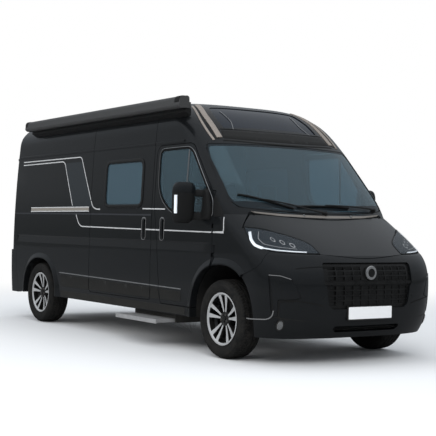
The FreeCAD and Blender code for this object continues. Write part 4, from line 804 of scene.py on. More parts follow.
def add_wheel(end, name, x, side):
    """Wheel: rim well and hub turned about the axle, ten wedge spokes in five pairs with
    bright turned faces on gloss black, a bright lip, a cap, five bolts and the valve."""
    label = "%s_%s" % (end, name)
    body = "wheel_" + label
    centre = (x, side * WHEEL_Y, TYRE_R)
    parts = [revolved([(RIM_R + r, y) for r, y in RIM_WELL], centre, side, 96),
             revolved(HUB, centre, side, 64)]
    bright = [revolved([(RIM_R + r, y) for r, y in RIM_LIP], centre, side, 128)]
    out = np.array([0.0, float(side), 0.0])
    for k in range(SPOKE_PAIRS):
        for lean in (-PAIR_LEAN, PAIR_LEAN):
            angle = math.radians(90 + 360 / SPOKE_PAIRS * k + lean)
            mid, way, half = spoke_rows(angle, x, side)
            for rows, shape in ((parts, SPOKE), (bright, SPOKE_FACE)):
                points = np.stack([mid + way * (half * a)[:, None] + out * b
                                   for a, b in shape], axis=1)
                rows.append((points, tube_faces(len(mid), len(shape))))
    wheel = add_piece("wheel_body_" + label, *joined(parts), body, GLOSS, sharp=35)
    add_piece("wheel_face_" + label, *joined(bright), body, ("alloy", ALLOY), sharp=35)
    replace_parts(wheel, "rim_" + label)
    face, rings = side * (WHEEL_Y + CAP_OUT), 48
    points, faces = revolved(CAP, (x, face, TYRE_R), side, rings, False)
    faces += [(len(points), k * len(CAP), (k + 1) % rings * len(CAP)) for k in range(rings)]
    points = np.concatenate([points, [(x, face + side * CAP_HIGH, TYRE_R)]])
    add_piece("hub_cap_" + label, points, faces, body, GLOSS)
    parts = []
    for k in range(BOLT_COUNT):
        angle = math.radians(360 / BOLT_COUNT * k + 54)
        at = (x + BOLT_REACH * math.cos(angle), face, TYRE_R + BOLT_REACH * math.sin(angle))
        parts.append(revolved(BOLT, at, side, 12))
    stem = np.linspace((x, side * (WHEEL_Y + 0.060), TYRE_R + 0.2225),
                       (x, side * (WHEEL_Y + 0.088), TYRE_R + 0.2155), 5)
    parts.append(carried(stem, AHEAD, capsule(0.004, 0.004, 3)))
    add_piece("wheel_bolts_" + label, *joined(parts), body, ("steel", STEEL))


# Thin pieces laid on the skin
def skin_level(p):
    """Implicit form of the skin: one on it, more outside it."""
    depth = corner_depth(p[:, 2])
    ahead = np.clip((p[:, 0] - nose_x(p[:, 2]) + depth) / depth, 0, None)
    return (np.abs(p[:, 1]) / half_width(p[:, 2])) ** 3 + ahead ** 3


def skin_slope(points, step=0.001):
    """Differences of the implicit form over two steps along each axis."""
    return np.stack([skin_level(points + step * e) - skin_level(points - step * e)
                     for e in np.eye(3)], axis=1)


TAIL_FACE = -2.86


def outward(points):
    """Unit normal of the skin at points on or near it, straight back on the tail."""
    points = np.asarray(points, float).reshape(-1, 3)
    slope = skin_slope(points)
    slope /= np.linalg.norm(slope, axis=1, keepdims=True)
    return np.where(points[:, :1] < TAIL_FACE, np.array([[-1.0, 0.0, 0.0]]), slope)


def onto_skin(points):
    """Points moved along the skin's slope until its implicit form is one there."""
    points = np.array(points, float).reshape(-1, 3)
    for _ in range(6):
        slope = skin_slope(points) / 0.002
        gap = skin_level(points) - 1
        points = points - slope * (gap / np.maximum((slope ** 2).sum(axis=1), 1e-6))[:, None]
    return points


def lifted(points, lift):
    points = np.asarray(points, float).reshape(-1, 3)
    return points + outward(points) * np.reshape(lift, (-1, 1))


TURN_REACH = 0.0135


def to_turn(corners):
    """(u, z) pairs on the nose from measured (x, y, z) points of the right-hand side: u is
    the turn from the centre line, in metres of about its run."""
    rows = []
    for x, y, z in corners:
        half, depth = float(half_width(z)), float(corner_depth(z))
        across = min(abs(y) / half, 1.0) ** 1.5
        ahead = min(max((x - float(nose_x(z)) + depth) / depth, 0.0), 1.0) ** 1.5
        turn = math.degrees(math.atan2(across, ahead))
        rows.append((math.copysign(turn * TURN_REACH, -y), z))
    return rows


def nose_surface(side):
    """Surface of the nose for outlines given by to_turn, on the right or mirrored."""
    def place(uz):
        u, z = uz[:, 0], uz[:, 1]
        turn = np.radians(np.clip(np.abs(u) / TURN_REACH, 0, 90))
        x = nose_x(z) - corner_depth(z) * (1 - np.cos(turn) ** (2 / 3))
        y = np.sign(u) * half_width(z) * np.sin(turn) ** (2 / 3)
        return np.stack([x, y if side > 0 else -y, z], axis=-1)
    return place


def flank_surface(side):
    def place(xz):
        return side_skin(xz[:, 0], xz[:, 1], side)
    return place


def area_sign(path):
    after = np.roll(path, -1, axis=0)
    return math.copysign(1.0, float(np.sum(path[:, 0] * after[:, 1] - after[:, 0] * path[:, 1])))


def shrunk(path, margin):
    """Closed outline moved inwards by a margin."""
    ahead = np.roll(path, -1, axis=0) - np.roll(path, 1, axis=0)
    ahead /= np.linalg.norm(ahead, axis=1, keepdims=True)
    inward = np.stack([-ahead[:, 1], ahead[:, 0]], axis=1) * area_sign(path)
    return path + inward * margin


def within(points, path):
    """Which points lie inside a closed outline, by even and odd crossings."""
    ax, ay = path[:, 0], path[:, 1]
    bx, by = np.roll(ax, -1), np.roll(ay, -1)
    px, py = points[:, 0, None], points[:, 1, None]
    crosses = (ay > py) != (by > py)
    flat = np.where(by == ay, 1e-12, by - ay)
    left = px < (bx - ax) * (py - ay) / flat + ax
    return (crosses & left).sum(axis=1) % 2 == 1


def add_patch(name, outline, surface, body, look, top=0.003, bottom=-0.003, bevel=0.004,
              step=0.03, crown=0.0):
    """Thin panel over a closed outline: its edge slopes up to a level top that may crown."""
    inner = shrunk(outline, bevel)
    low, high = inner.min(axis=0), inner.max(axis=0)
    grid = np.stack(np.meshgrid(np.arange(low[0], high[0], step),
                                np.arange(low[1], high[1], step), indexing="ij"), -1)
    grid = grid.reshape(-1, 2)
    grid = grid[within(grid, shrunk(inner, step * 0.4))]
    count = len(inner)
    corners = [Vector(p) for p in np.concatenate([inner, grid])]
    edges = [(k, (k + 1) % count) for k in range(count)]
    made = delaunay_2d_cdt(corners, edges, [], 0, 1e-6)
    flat = np.array([tuple(v) for v in made[0]])
    middles = np.array([flat[list(f)].mean(axis=0) for f in made[2]])
    keep = within(middles, inner)
    faces = [list(f) for f, k in zip(made[2], keep) if k]
    where = {}
    for index, sources in enumerate(made[3]):
        for source in sources:
            where[source] = index
    reach = np.min(np.linalg.norm(flat[:, None] - inner[None], axis=2), axis=1)
    swell = crown * (1 - np.exp(-reach / max(crown * 6, 1e-6))) if crown else 0 * reach
    tops = lifted(surface(flat), top + swell)
    rim = lifted(surface(outline), max(top - bevel, bottom / 2))
    foot = lifted(surface(outline), bottom)
    first, second = len(tops), len(tops) + count
    for k in range(count):
        n = (k + 1) % count
        faces.append([where[k], where[n], first + n, first + k])
        faces.append([first + k, first + n, second + n, second + k])
    add_piece(name, np.concatenate([tops, rim, foot]), faces, body, look, sharp=50)


def add_bead(name, path, surface, profile, body, look, closed=True, lift=0.0):
    """Profile of (across, outwards) pairs carried round an outline on the skin."""
    place = surface(np.asarray(path, float))
    add_piece(name, *carried(lifted(place, lift), outward(place), profile, closed), body, look)


def skin_bead(name, corners, profile, look, radius=0.08, lift=0.0):
    """Profile of (across, outwards) pairs carried along measured points of the skin."""
    path = onto_skin(smooth_path(corners, radius, 0.03))
    out = outward(path)
    add_piece(name, *carried(path + out * lift, out, profile), "body", look)


def add_button(name, place, out, profile, steps, lift, look):
    """Turned piece standing along out at a place on the skin."""
    points, faces = revolved(profile, (0, 0, 0), 1, steps)
    turn = Vector((0, 1, 0)).rotation_difference(Vector(out)).to_matrix()
    add_piece(name, points @ np.array(turn).T + place + out * lift, faces, "body", look)


def both_halves(row):
    """(u, z) points up to the centre line followed by their mirror image."""
    return row + [(-u, z) for u, z in row[:-1][::-1]]


def mirror_y(points):
    return [(x, -y, z) for x, y, z in points]


# Outside mirrors
MIRROR_AT = (1.622, 1.168, 1.452)
MIRROR_PANES = (("main", -0.085, 0.165), ("wide", -0.170, -0.105))
MIRROR_HIGH, MIRROR_CAP_LOW, PANE_HALF, PANE_BACK = 0.197, 0.088, 0.093, 0.0345
# Each arm: how far ahead of the middle, how far inwards of it and how far down
MIRROR_ARM = ((-0.005, 0.085, 0), (0.045, 0.125, 0), (0.110, 0.175, 0.004),
              (0.160, 0.205, 0.010))
MIRROR_FOOT = [(1.700, 1.288, 0.04), (1.838, 1.288, 0.05), (1.852, 1.360, 0.05),
               (1.805, 1.575, 0.05), (1.730, 1.600, 0.04)]


def add_mirror(name, side):
    """Mirror head as a squared egg, flat behind: half width, depth and height levels are
    superellipses of the height; its cap is painted, and two arms reach a foot on the door."""
    body = "door_front_" + name
    cx, cy, cz = MIRROR_AT
    mid_x, rows, ring = cx - 0.018, 33, 56
    level = np.sin(np.linspace(-math.pi / 2, math.pi / 2, rows))[:, None]
    c, s = circle(ring)
    plan = (np.abs(c) ** 3.2 + np.abs(s) ** 3.2) ** (1 / 3.2)
    fill = (1 - np.abs(level) ** 5) ** (1 / 2.6)
    half_y = (0.116 + 0.006 * level) * (0.30 + 0.70 * fill)
    x = mid_x + (c / plan) * np.where(c > 0, 0.066, 0.036) * (0.45 + 0.55 * fill) * (1 - 0.18 * s)
    y = cy + (s / plan) * half_y - 0.008 * level
    shell = np.stack([x, side * y, cz + MIRROR_HIGH * level + 0 * y], axis=-1)
    head = add_piece("mirror_shell_" + name, shell, tube_faces(rows, ring), body, TRIM)
    upper = shell[shell[:, 0, 2] > cz + MIRROR_CAP_LOW]
    middle = np.array([mid_x, side * cy, cz])
    grown = middle + (upper - middle) * (1.035, 1.02, 1.008)
    front = np.where(c > -0.35)[0]
    front = np.roll(front, -int(np.argmax(np.diff(front) > 1) + 1))
    last = (len(grown) - 1) * len(front)
    faces = grid_faces(len(grown), len(front)) + [[last + k for k in range(len(front))]]
    add_piece("mirror_cap_" + name, grown[:, front], faces, body, PAINTED)
    lens = np.linspace((cx + 0.020, side * (cy + 0.102), cz - 0.105),
                       (cx + 0.020, side * (cy + 0.102), cz + 0.070), 15)
    add_piece("mirror_blinker_" + name,
              *carried(lens, np.array([0.5, side * 0.866, 0.0]), capsule(0.016, 0.012, 3)),
              body, ("lamp_glass", GUIDE))
    for label, low, high in MIRROR_PANES:
        inner, outer = cy - PANE_HALF, cy + PANE_HALF
        pane = closed_path([(inner, cz + low, 0.03), (outer, cz + low, 0.03),
                            (outer, cz + high, 0.045), (inner, cz + high, 0.045)], 0.03)
        count = len(pane)
        rim = np.column_stack([np.full(count, mid_x - PANE_BACK), side * pane[:, 0], pane[:, 1]])
        bulge = rim.mean(axis=0) - (0.004, 0, 0)
        points = np.concatenate([rim, rim - (0.003, 0, 0), bulge[None]])
        faces = grid_faces(2, count, False, True)
        faces += [[count + k, count + (k + 1) % count, 2 * count] for k in range(count)]
        add_piece("mirror_glass_%s_%s" % (label, name), points, faces, body,
                  ("steel", MIRROR))
    arms = []
    for z, thick in ((cz + 0.095, 0.034), (cz - 0.125, 0.040)):
        path = [(cx + ahead, side * (cy - inwards), z - fall)
                for ahead, inwards, fall in MIRROR_ARM]
        arms.append(carried(smooth_path(path, 0.05), UPWARDS,
                            capsule(0.017, thick, 4, 2.6)))
    add_piece("mirror_arms_" + name, *joined(arms), body, TRIM)
    add_patch("mirror_foot_" + name, closed_path(MIRROR_FOOT, 0.04), flank_surface(side), body,
              TRIM, top=0.034, bottom=-0.002, bevel=0.016, step=0.02, crown=0.010)
    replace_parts(head, "mirror_" + name)


# Head lamps: outlines on the skin, measured points of the right-hand lamp
LAMP_TOP = [(2.312, -0.965, 1.232), (2.407, -0.883, 1.218), (2.492, -0.783, 1.196),
            (2.562, -0.693, 1.171), (2.664, -0.570, 1.124), (2.731, -0.508, 1.086),
            (2.861, -0.497, 1.001)]
LAMP_LOW = [(2.831, -0.610, 1.003), (2.794, -0.728, 1.007), (2.741, -0.832, 1.012),
            (2.670, -0.918, 1.019), (2.544, -0.974, 1.061), (2.462, -0.983, 1.108),
            (2.393, -0.979, 1.161)]
DRL_LINE = [(2.395, -0.945, 1.185), (2.445, -0.950, 1.120), (2.505, -0.945, 1.070),
            (2.585, -0.935, 1.045), (2.700, -0.868, 1.026), (2.770, -0.765, 1.018),
            (2.825, -0.625, 1.012)]
LAMP_TRIM = [(2.455, -0.905, 1.188), (2.500, -0.905, 1.120), (2.575, -0.895, 1.076),
             (2.690, -0.835, 1.052), (2.775, -0.700, 1.038)]
LAMP_PODS = ((2.575, -0.800, 1.120), (2.640, -0.745, 1.096), (2.700, -0.680, 1.072))


def lamp_line(points, step=0.012):
    """Smooth open (u, z) path through measured points."""
    corners = np.array(to_turn(points))
    run = run_of(corners)
    line = at_marks(corners, run, np.linspace(0, run[-1], int(run[-1] / step)))
    for _ in range(3):
        line[1:-1] = (line[:-2] + 2 * line[1:-1] + line[2:]) / 4
    return line


def round_patch(name, at, wide, high, count, surface, look, **shape):
    """Patch over an ellipse round a measured point of the nose."""
    (u, z), = to_turn([at])
    c, s = circle(count)
    add_patch(name, np.stack([u + wide * c, z + high * s], axis=1), surface, "body", look,
              **shape)


def add_headlamp(name, side):
    """Dark lamp housing with a bright bent light guide, three lens pods and a clear cover."""
    surface = nose_surface(side)
    rim = np.concatenate([lamp_line(LAMP_TOP), lamp_line(LAMP_LOW)])
    low = shrunk(rim, 0.006)
    add_patch("lamp_housing_" + name, low, surface, "body", ("grille_black", LAMP_BLACK),
              top=0.0008, bottom=-0.003, bevel=0.002, step=0.025)
    guide = lamp_line(DRL_LINE)
    strip = np.array([(-0.011, 0.0), (0.011, 0.0), (0.009, 0.0045), (-0.009, 0.0045)])
    split = int(len(guide) * 0.36)
    for label, run, scale in (("tall", guide[:split], 1.25), ("long", guide[split - 1:], 0.62)):
        add_bead("lamp_guide_%s_%s" % (label, name), run, surface, strip * (scale, 1), "body",
                 ("lamp_glass", GUIDE), closed=False)
    add_bead("lamp_trim_" + name, lamp_line(LAMP_TRIM), surface, strip * (0.35, 0.8), "body",
             BRIGHT, closed=False)
    for k, at in enumerate(LAMP_PODS):
        for label, size, material, top in (("bowl", 0.030, CHROME, 0.0022),
                                           ("pupil", 0.019, LAMP_BLACK, 0.0040)):
            round_patch("lamp_%s_%d_%s" % (label, k, name), at, size * 0.9, size * 0.75, 28,
                        surface, ("steel", material), top=top, bottom=-0.001, bevel=0.003,
                        step=0.01)
    add_patch("lamp_cover_" + name, low, surface, "body", ("lamp_glass", COVER), top=0.0095,
              bottom=0.0012, bevel=0.006, step=0.025)
    add_bead("lamp_seal_" + name, rim, surface, box_profile(-0.004, 0.004, -0.004, 0.002),
             "body", SEAL)


# Fascia: dark panels let into the front bumper, on measured points of the right side
CORNER_PANEL = [(2.732, -0.976, 0.811), (2.817, -0.908, 0.806), (2.875, -0.831, 0.777),
                (2.902, -0.784, 0.708), (2.917, -0.748, 0.612), (2.898, -0.789, 0.599),
                (2.803, -0.925, 0.591), (2.794, -0.922, 0.440), (2.760, -0.959, 0.445),
                (2.762, -0.959, 0.589)]
LOWER_SEAM = [(2.898, -0.789, 0.585), (2.808, -0.921, 0.574), (2.796, -0.912, 0.441),
              (2.882, -0.727, 0.381), (2.893, -0.599, 0.324), (2.887, -0.385, 0.261)]
FOG_AT = (2.790, -0.885, 0.369)
FOOT_EDGE = [(2.454, -0.996, 0.410), (2.501, -0.995, 0.408), (2.570, -0.990, 0.412),
             (2.630, -0.979, 0.415), (2.691, -0.958, 0.418), (2.728, -0.942, 0.432),
             (2.751, -0.932, 0.456), (2.762, -0.928, 0.500)]
BLOCK_TOP = [(2.796, -0.914, 0.585), (2.842, -0.867, 0.591), (2.908, -0.752, 0.585),
             (2.951, -0.618, 0.563), (2.967, -0.530, 0.545)]
BLOCK_LOW = [(2.782, -0.906, 0.449), (2.792, -0.891, 0.432), (2.850, -0.814, 0.425),
             (2.906, -0.681, 0.409), (2.950, -0.420, 0.402), (2.985, -0.020, 0.398)]


def add_fascia(name, side):
    """Lines, dark corner panel and fog lamp of the front bumper; the pale foot and panel-top
    lines are painted highlights along its edges.
    """
    surface = nose_surface(side)
    # The pale foot and panel-top lines paint the highlights along the bumper's lower edge and
    # along the top of the corner panel
    for label, line, size, material, high in (
            ("foot", FOOT_EDGE, 0.0045, EDGE_HIGHLIGHT, 0.0062),
            ("panel_top_highlight", CORNER_PANEL[:3], 0.0030, EDGE_HIGHLIGHT, 0.0062),
            ("block_top", BLOCK_TOP, 0.0042, RUBBER, 0.0008),
            ("block_low", BLOCK_LOW, 0.0036, RUBBER, 0.0008)):
        add_bead("bumper_%s_line_%s" % (label, name), lamp_line(line), surface,
                 box_profile(-size, size, -0.003, high), "body", ("trim_black", material),
                 closed=False)
    panel = closed_path(to_turn(CORNER_PANEL), 0.02)
    add_patch("bumper_panel_" + name, panel, surface, "body", ("bumper_paint", BUMPER),
              top=0.005, bevel=0.006)
    add_bead("bumper_panel_edge_" + name, panel, surface,
             box_profile(-0.004, 0.004, -0.003, 0.0008), "body", SEAL)
    add_bead("bumper_seam_" + name, lamp_line(LOWER_SEAM), surface,
             box_profile(-0.0025, 0.0025, -0.003, 0.0008), "body", SEAL, closed=False)
    for label, size, look, top in (("ring", 0.052, TRIM, 0.006),
                                   ("bowl", 0.042, ("trim_black", CHROME), 0.008),
                                   ("lens", 0.040, ("lamp_glass", COVER), 0.014)):
        round_patch("fog_%s_%s" % (label, name), FOG_AT, size, size, 40, surface, look,
                    top=top, bottom=-0.002, bevel=0.005, step=0.012, crown=0.004)


# Window trims of the cab and the sliding door
CAB_GLASS = [(0.854, 2.002, 0.075), (0.854, 1.56, 0.17), (1.124, 1.352, 0.24),
             (1.856, 1.340, 0.02), (1.856, 1.475, 0.04), (1.442, 2.002, 0.10)]
SLIDE_GLASS = [(-0.310, 1.428, 0.09), (0.520, 1.428, 0.09), (0.520, 1.920, 0.09),
               (-0.310, 1.920, 0.09)]


FRAME = [(-0.022, -0.003), (0.022, -0.003), (0.020, 0.006), (-0.004, 0.009), (-0.020, 0.006)]
BED_WINDOW_SHIFT = -1.900


def add_handle_highlights(name, side):
    """Pale rim around each pull pocket and a thicker satin cap at its top: painted highlights on
    the pocket's edge and on top of the grip.
    """
    surface = flank_surface(side)
    rows = list(zip(HANDLE_X, ("body", "door_front_" + name), ("slide_", "cab_")))
    for x, body, label in rows[0 if side < 0 else 1:]:
        rim = closed_path([(x + i * 0.041, HANDLE_Z + j * 0.117)
                           for i, j in ((-1, -1), (1, -1), (1, 1), (-1, 1))], 0.036)
        # Pale bead round the pocket: a painted highlight on its edge
        add_bead("handle_highlight_rim_" + label + name, rim, surface, capsule(0.0028, 0.0035, 2), body,
                 ("alloy", EDGE_HIGHLIGHT))
        # Satin cap: a painted highlight on top of the grip
        cap = [(x - 0.028, HANDLE_Z + 0.103), (x, HANDLE_Z + 0.111),
               (x + 0.028, HANDLE_Z + 0.103)]
        add_bead("handle_highlight_cap_" + label + name, cap, surface, capsule(0.009, 0.007, 3), body,
                 SATIN_BAR, closed=False)


def add_window_trims(name, side):
    """Seal, bright bead and divider of the cab window, and frames of the side windows."""
    door = "door_front_" + name
    surface = flank_surface(side)
    add_handle_highlights(name, side)
    opening = closed_path(CAB_GLASS, 0.05)
    add_bead("cab_seal_" + name, opening, surface, box_profile(-0.010, 0.010, -0.006, 0.003),
             door, SEAL)
    add_bead("cab_bead_" + name, shrunk(opening, -0.014), surface, capsule(0.0035, 0.003, 2),
             door, BRIGHT)
    add_bead("cab_divider_" + name, [(1.385, 1.500), (1.392, 1.700), (1.400, 1.990)], surface,
             box_profile(-0.010, 0.010, -0.011, 0.001), door, SATIN_BAR, closed=False)
    add_bead("side_frame_" + name, closed_path(SLIDE_GLASS, 0.06), surface, FRAME, "body",
             GLOSS_TRIM)
    if side > 0:
        bed = [(x + BED_WINDOW_SHIFT, z, r) for x, z, r in SLIDE_GLASS]
        add_bead("bed_frame_" + name, closed_path(bed, 0.06), surface, FRAME, "body",
                 GLOSS_TRIM)


# Roof window surround, the bare panel under it and the pale rails beside it
OUTER_RAIL = [(1.551, -0.785, 2.080), (1.445, -0.793, 2.167), (1.287, -0.780, 2.294),
              (1.130, -0.735, 2.395), (0.997, -0.693, 2.460)]
INNER_RAIL = [(1.538, -0.712, 2.108), (1.394, -0.702, 2.232), (1.230, -0.692, 2.350),
              (1.100, -0.654, 2.424), (0.970, -0.616, 2.480)]
SASH = [(1.155, -0.458, 2.420), (1.347, -0.443, 2.298), (1.459, -0.493, 2.207)]


def rail_profile(half, high):
    return np.array([(-half, -0.003), (half, -0.003), (half, high * 0.7), (half * 0.7, high),
                     (-half * 0.7, high), (-half, high * 0.7)])

FOREHEAD = (
    ("forehead_rail_outer_", OUTER_RAIL, rail_profile(0.012, 0.007), PALE),
    ("forehead_rail_inner_", INNER_RAIL, rail_profile(0.030, 0.009), PALE),
    ("forehead_groove_",
     [(1.546, -0.741, 2.094), (1.420, -0.737, 2.201), (1.258, -0.724, 2.325),
      (1.115, -0.683, 2.412), (0.980, -0.642, 2.474)], rail_profile(0.023, 0.002), CLADDING),
    ("roof_window_side_",
     [(1.455, -0.634, 2.205), (1.400, -0.632, 2.245), (1.240, -0.628, 2.362),
      (1.120, -0.600, 2.430), (1.060, -0.570, 2.458)], rail_profile(0.034, 0.0018), GLOSS))


def add_forehead(name, side):
    """Pale rails with the groove between them, and the roof window's edge and sash."""
    for label, line, profile, look in FOREHEAD:
        skin_bead(label + name, line if side < 0 else mirror_y(line), profile, look, 0.15)
    skin_bead("roof_window_sash_" + name, SASH if side < 0 else mirror_y(SASH),
              capsule(0.004, 0.004, 2), SATIN_BAR, 0.05, lift=-0.002)


def add_bare_panel():
    """Plain dark panel between the windscreen and the roof window."""
    low = to_turn([(1.555, -0.683, 2.103), (1.590, -0.400, 2.095), (1.598, 0.0, 2.093)])
    top = to_turn([(1.452, -0.640, 2.196), (1.480, -0.400, 2.204), (1.490, 0.0, 2.206)])
    outline = closed_path(both_halves(low) + both_halves(top)[::-1], 0.02)
    add_patch("bare_panel", outline, nose_surface(-1), "body", CLADDING, top=0.004, step=0.04)
    for label, half, profile, look in (
            ("roof_window_sill", [(1.448, -0.640, 2.212), (1.478, -0.4, 2.214),
                                  (1.488, 0.0, 2.215)], capsule(0.005, 0.005, 2), TRIM),
            ("forehead_lip", [(1.572, -0.690, 2.082), (1.622, -0.350, 2.074),
                              (1.633, 0.0, 2.072)], rail_profile(0.010, 0.004), CLADDING)):
        skin_bead(label, half + mirror_y(half[:-1])[::-1], profile, look, 0.2)


# Windscreen: dark printed border, scuttle panel, nozzles and wipers
SCUTTLE_TOP = [(2.201, -0.804, 1.378), (2.285, -0.519, 1.357), (2.305, -0.237, 1.352),
               (2.306, 0.0, 1.351)]
SCUTTLE_LOW = [(2.225, -0.770, 1.362), (2.300, -0.541, 1.340), (2.335, -0.269, 1.330),
               (2.345, 0.0, 1.327)]


def screen_edge(inset):
    """Closed (u, z) outline of the windscreen moved inwards, bowed along top and bottom."""
    """Closed (u, z) outline of the windscreen moved inwards, bowed along top and bottom."""
    top = to_turn([(1.555, -0.896, 2.042), (1.600, -0.6, 2.052), (1.632, -0.3, 2.059),
                   (1.640, 0.0, 2.061)])
    low = to_turn([(2.149, -0.928, 1.417), (2.215, -0.7, 1.398), (2.262, -0.35, 1.378),
                   (2.279, 0.0, 1.369)])
    flank = to_turn([(1.650, -0.903, 1.900), (1.840, -0.913, 1.700), (2.020, -0.923, 1.500)])
    row, back = both_halves(top), both_halves(low)
    rows = row + [(-u, z) for u, z in flank] + back[::-1] + flank[::-1]
    side = [0.10] * len(flank)
    radii = [0.05] + [0.10] * (len(row) - 2) + [0.05] + side
    radii += [0.05] + [0.10] * (len(back) - 2) + [0.05] + side
    return shrunk(closed_path([c + (r,) for c, r in zip(rows, radii)], 0.05), inset)


NOZZLE = [(0.001, 0.013), (0.008, 0.011), (0.012, 0.004), (0.013, -0.002), (0.001, -0.002)]


def add_windscreen_trim():
    """Printed border, seal, scuttle panel and washer nozzles."""
    surface = nose_surface(-1)
    add_bead("screen_print", screen_edge(0.012), surface,
             box_profile(-0.014, 0.014, -0.001, 0.0006), "body", ("grille_black", PRINT),
             lift=-0.0045)
    add_bead("screen_seal", screen_edge(-0.001), surface, capsule(0.006, 0.004, 3), "body",
             SEAL, lift=-0.004)
    band = [(2.110, -0.905, 1.452), (2.180, -0.650, 1.436), (2.228, -0.3, 1.418),
            (2.240, 0.0, 1.412)]
    skin_bead("screen_print_low", band + mirror_y(band[:-1])[::-1],
              box_profile(-0.030, 0.030, -0.001, 0.0006), ("grille_black", PRINT), 0.2,
              lift=-0.0046)
    corners = both_halves(to_turn(SCUTTLE_LOW)) + both_halves(to_turn(SCUTTLE_TOP))[::-1]
    add_patch("scuttle_panel", closed_path(corners, 0.012), surface, "body",
              ("trim_black", SCUTTLE), top=0.006, bevel=0.005)
    for k, y in enumerate((-0.255, 0.330)):
        place = onto_skin([(2.318, y, 1.345)])
        add_button("washer_nozzle_%d" % k, place[0], outward(place)[0], NOZZLE, 20, 0.006,
                   ("trim_black", SATIN))


WIPERS = (([(2.061, -0.851, 1.527), (2.166, -0.608, 1.478), (2.252, -0.331, 1.406)],
           [(2.166, -0.608, 1.478), (2.209, -0.463, 1.447), (2.276, -0.153, 1.383),
            (2.296, 0.020, 1.362)]),
          ([(2.235, -0.273, 1.428), (2.227, 0.071, 1.439), (2.233, 0.370, 1.426)],
           [(2.227, 0.071, 1.439), (2.222, 0.443, 1.418), (2.184, 0.725, 1.402)]))

BLADE = [(-0.009, 0.0), (0.009, 0.0), (0.007, 0.006), (0.0, 0.010), (-0.007, 0.006)]
WIPER_HUB = [(0.001, 0.034), (0.014, 0.032), (0.020, 0.022), (0.022, -0.004), (0.001, -0.004)]


def add_wipers():
    """Two blades on arms that widen and drop towards their hubs."""
    for k, (blade, arm) in enumerate(WIPERS):
        skin_bead("wiper_rubber_%d" % k, blade, box_profile(-0.003, 0.003, -0.005, 0.012),
                  SEAL, 0.15)
        skin_bead("wiper_blade_%d" % k, blade, BLADE, TRIM, 0.15, lift=0.011)
        path = onto_skin(smooth_path(arm, 0.12))
        out = outward(path)
        t = np.linspace(0, 1, len(path))[:, None]
        rise = 0.024 + 0.010 * np.sin(math.pi * t)
        points, faces = carried(path + out * rise, out, capsule(0.010, 0.006, 3, 2.6))
        points = points.reshape(len(path), -1, 3)
        middle = points.mean(axis=1, keepdims=True)
        add_piece("wiper_arm_%d" % k, middle + (points - middle) * (0.65 + 0.5 * t)[:, None],
                  faces, "body", TRIM)
        add_button("wiper_hub_%d" % k, path[-1], out[-1], WIPER_HUB, 28, 0.0, TRIM)


# Flank: bright sill line over dark cladding, black sail trim, corner line of the door
CLAD_LOW, CLAD_REAR, CLAD_FRONT = 0.478, -1.400, 1.335
CLAD_MID, CLAD_TOP, CLAD_FALL, CLAD_GAP, DOOR_LEAN = 0.55, 0.632, -0.038, 0.004, 0.034


def add_cladding(name, side):
    """Dark cladding over the sill, cut at the seams and under a bright line, the plinth,
    the line at the door's corner and the black sail behind the mirror."""
    def top(x):
        return CLAD_TOP + (x + 1.422) * CLAD_FALL / 2.764 - 0.012
    surface = flank_surface(side)
    rows = {}
    for body, low, high in panels(side, CLAD_MID):
        low, high = max(low, CLAD_REAR), min(high, CLAD_FRONT)
        if high - low >= 0.05:
            rows.setdefault(body, []).append((body, low, high))
    for count, (body, low, high) in enumerate(sum(rows.values(), [])):
        at_pillar = abs(high - (door_rear_x(CLAD_MID) - SEAM)) < 0.01
        lean = DOOR_LEAN if body.startswith("door") else 0.0
        ahead = DOOR_LEAN if at_pillar else 0.0
        outline = closed_path([(low + CLAD_GAP + lean * 0.5, CLAD_LOW),
                               (high - CLAD_GAP + ahead * 0.3, CLAD_LOW),
                               (high - CLAD_GAP - ahead * 0.5, top(high)),
                               (low + CLAD_GAP - lean * 0.4, top(low))], 0.012)
        add_patch("sill_cladding_%s_%d" % (name, count), outline, surface, body, CLADDING,
                  top=0.0035, bevel=0.003, step=0.05)
    plinth = closed_path([(-1.395, 0.352), (1.400, 0.352), (1.400, 0.428), (-1.395, 0.428)],
                         0.012, 0.03)
    add_patch("sill_plinth_" + name, plinth, surface, "body", CLADDING, bevel=0.003, step=0.06)
    flank_line("sill_line", side, [(-1.422, 0.640), (1.342, 0.604)],
               capsule(0.0065, 0.0045, 2), BRIGHT, lift=0.001)
    corner = smooth_path([(1.900, 1.176), (2.070, 1.180), (2.066, 1.240), (2.060, 1.318)],
                         0.03, 0.01)
    add_bead("door_corner_line_" + name, corner, surface, film(0.011), "body", STRIPES,
             closed=False)
    sail = closed_path([(1.892, 1.318, 0.02), (2.052, 1.326, 0.02), (2.010, 1.405, 0.03),
                        (1.930, 1.505, 0.03), (1.892, 1.520, 0.02)], 0.02)
    add_patch("sail_trim_" + name, sail, surface, "body", TRIM, bevel=0.003)


# Nose: badge ring, plate, bumper crease, slats of the lower intake and parking sensors
def along_x(places, sections):
    """Tube along X through one (y, z) section at each place."""
    points = [np.column_stack([np.full(len(o), x), o]) for x, o in zip(places, sections)]
    return np.concatenate(points), tube_faces(len(places), len(sections[0]))


def flat_plate(name, centre, half_wide, half_high, deep, look, radius=0.010, bevel=0.002):
    """Rounded plate standing square to X with its face forward."""
    outline = closed_path([(-half_wide, -half_high), (half_wide, -half_high),
                           (half_wide, half_high), (-half_wide, half_high)], radius, 0.004)
    sections = [o + centre[1:] for o in (outline, outline, shrunk(outline, bevel))]
    places = [centre[0] + d for d in (0.0, deep - bevel, deep)]
    add_piece(name, *along_x(places, sections), "body", look, sharp=30)


SENSOR = [(0.001, 0.0030), (0.008, 0.0026), (0.010, 0.0), (0.010, -0.004), (0.001, -0.004)]


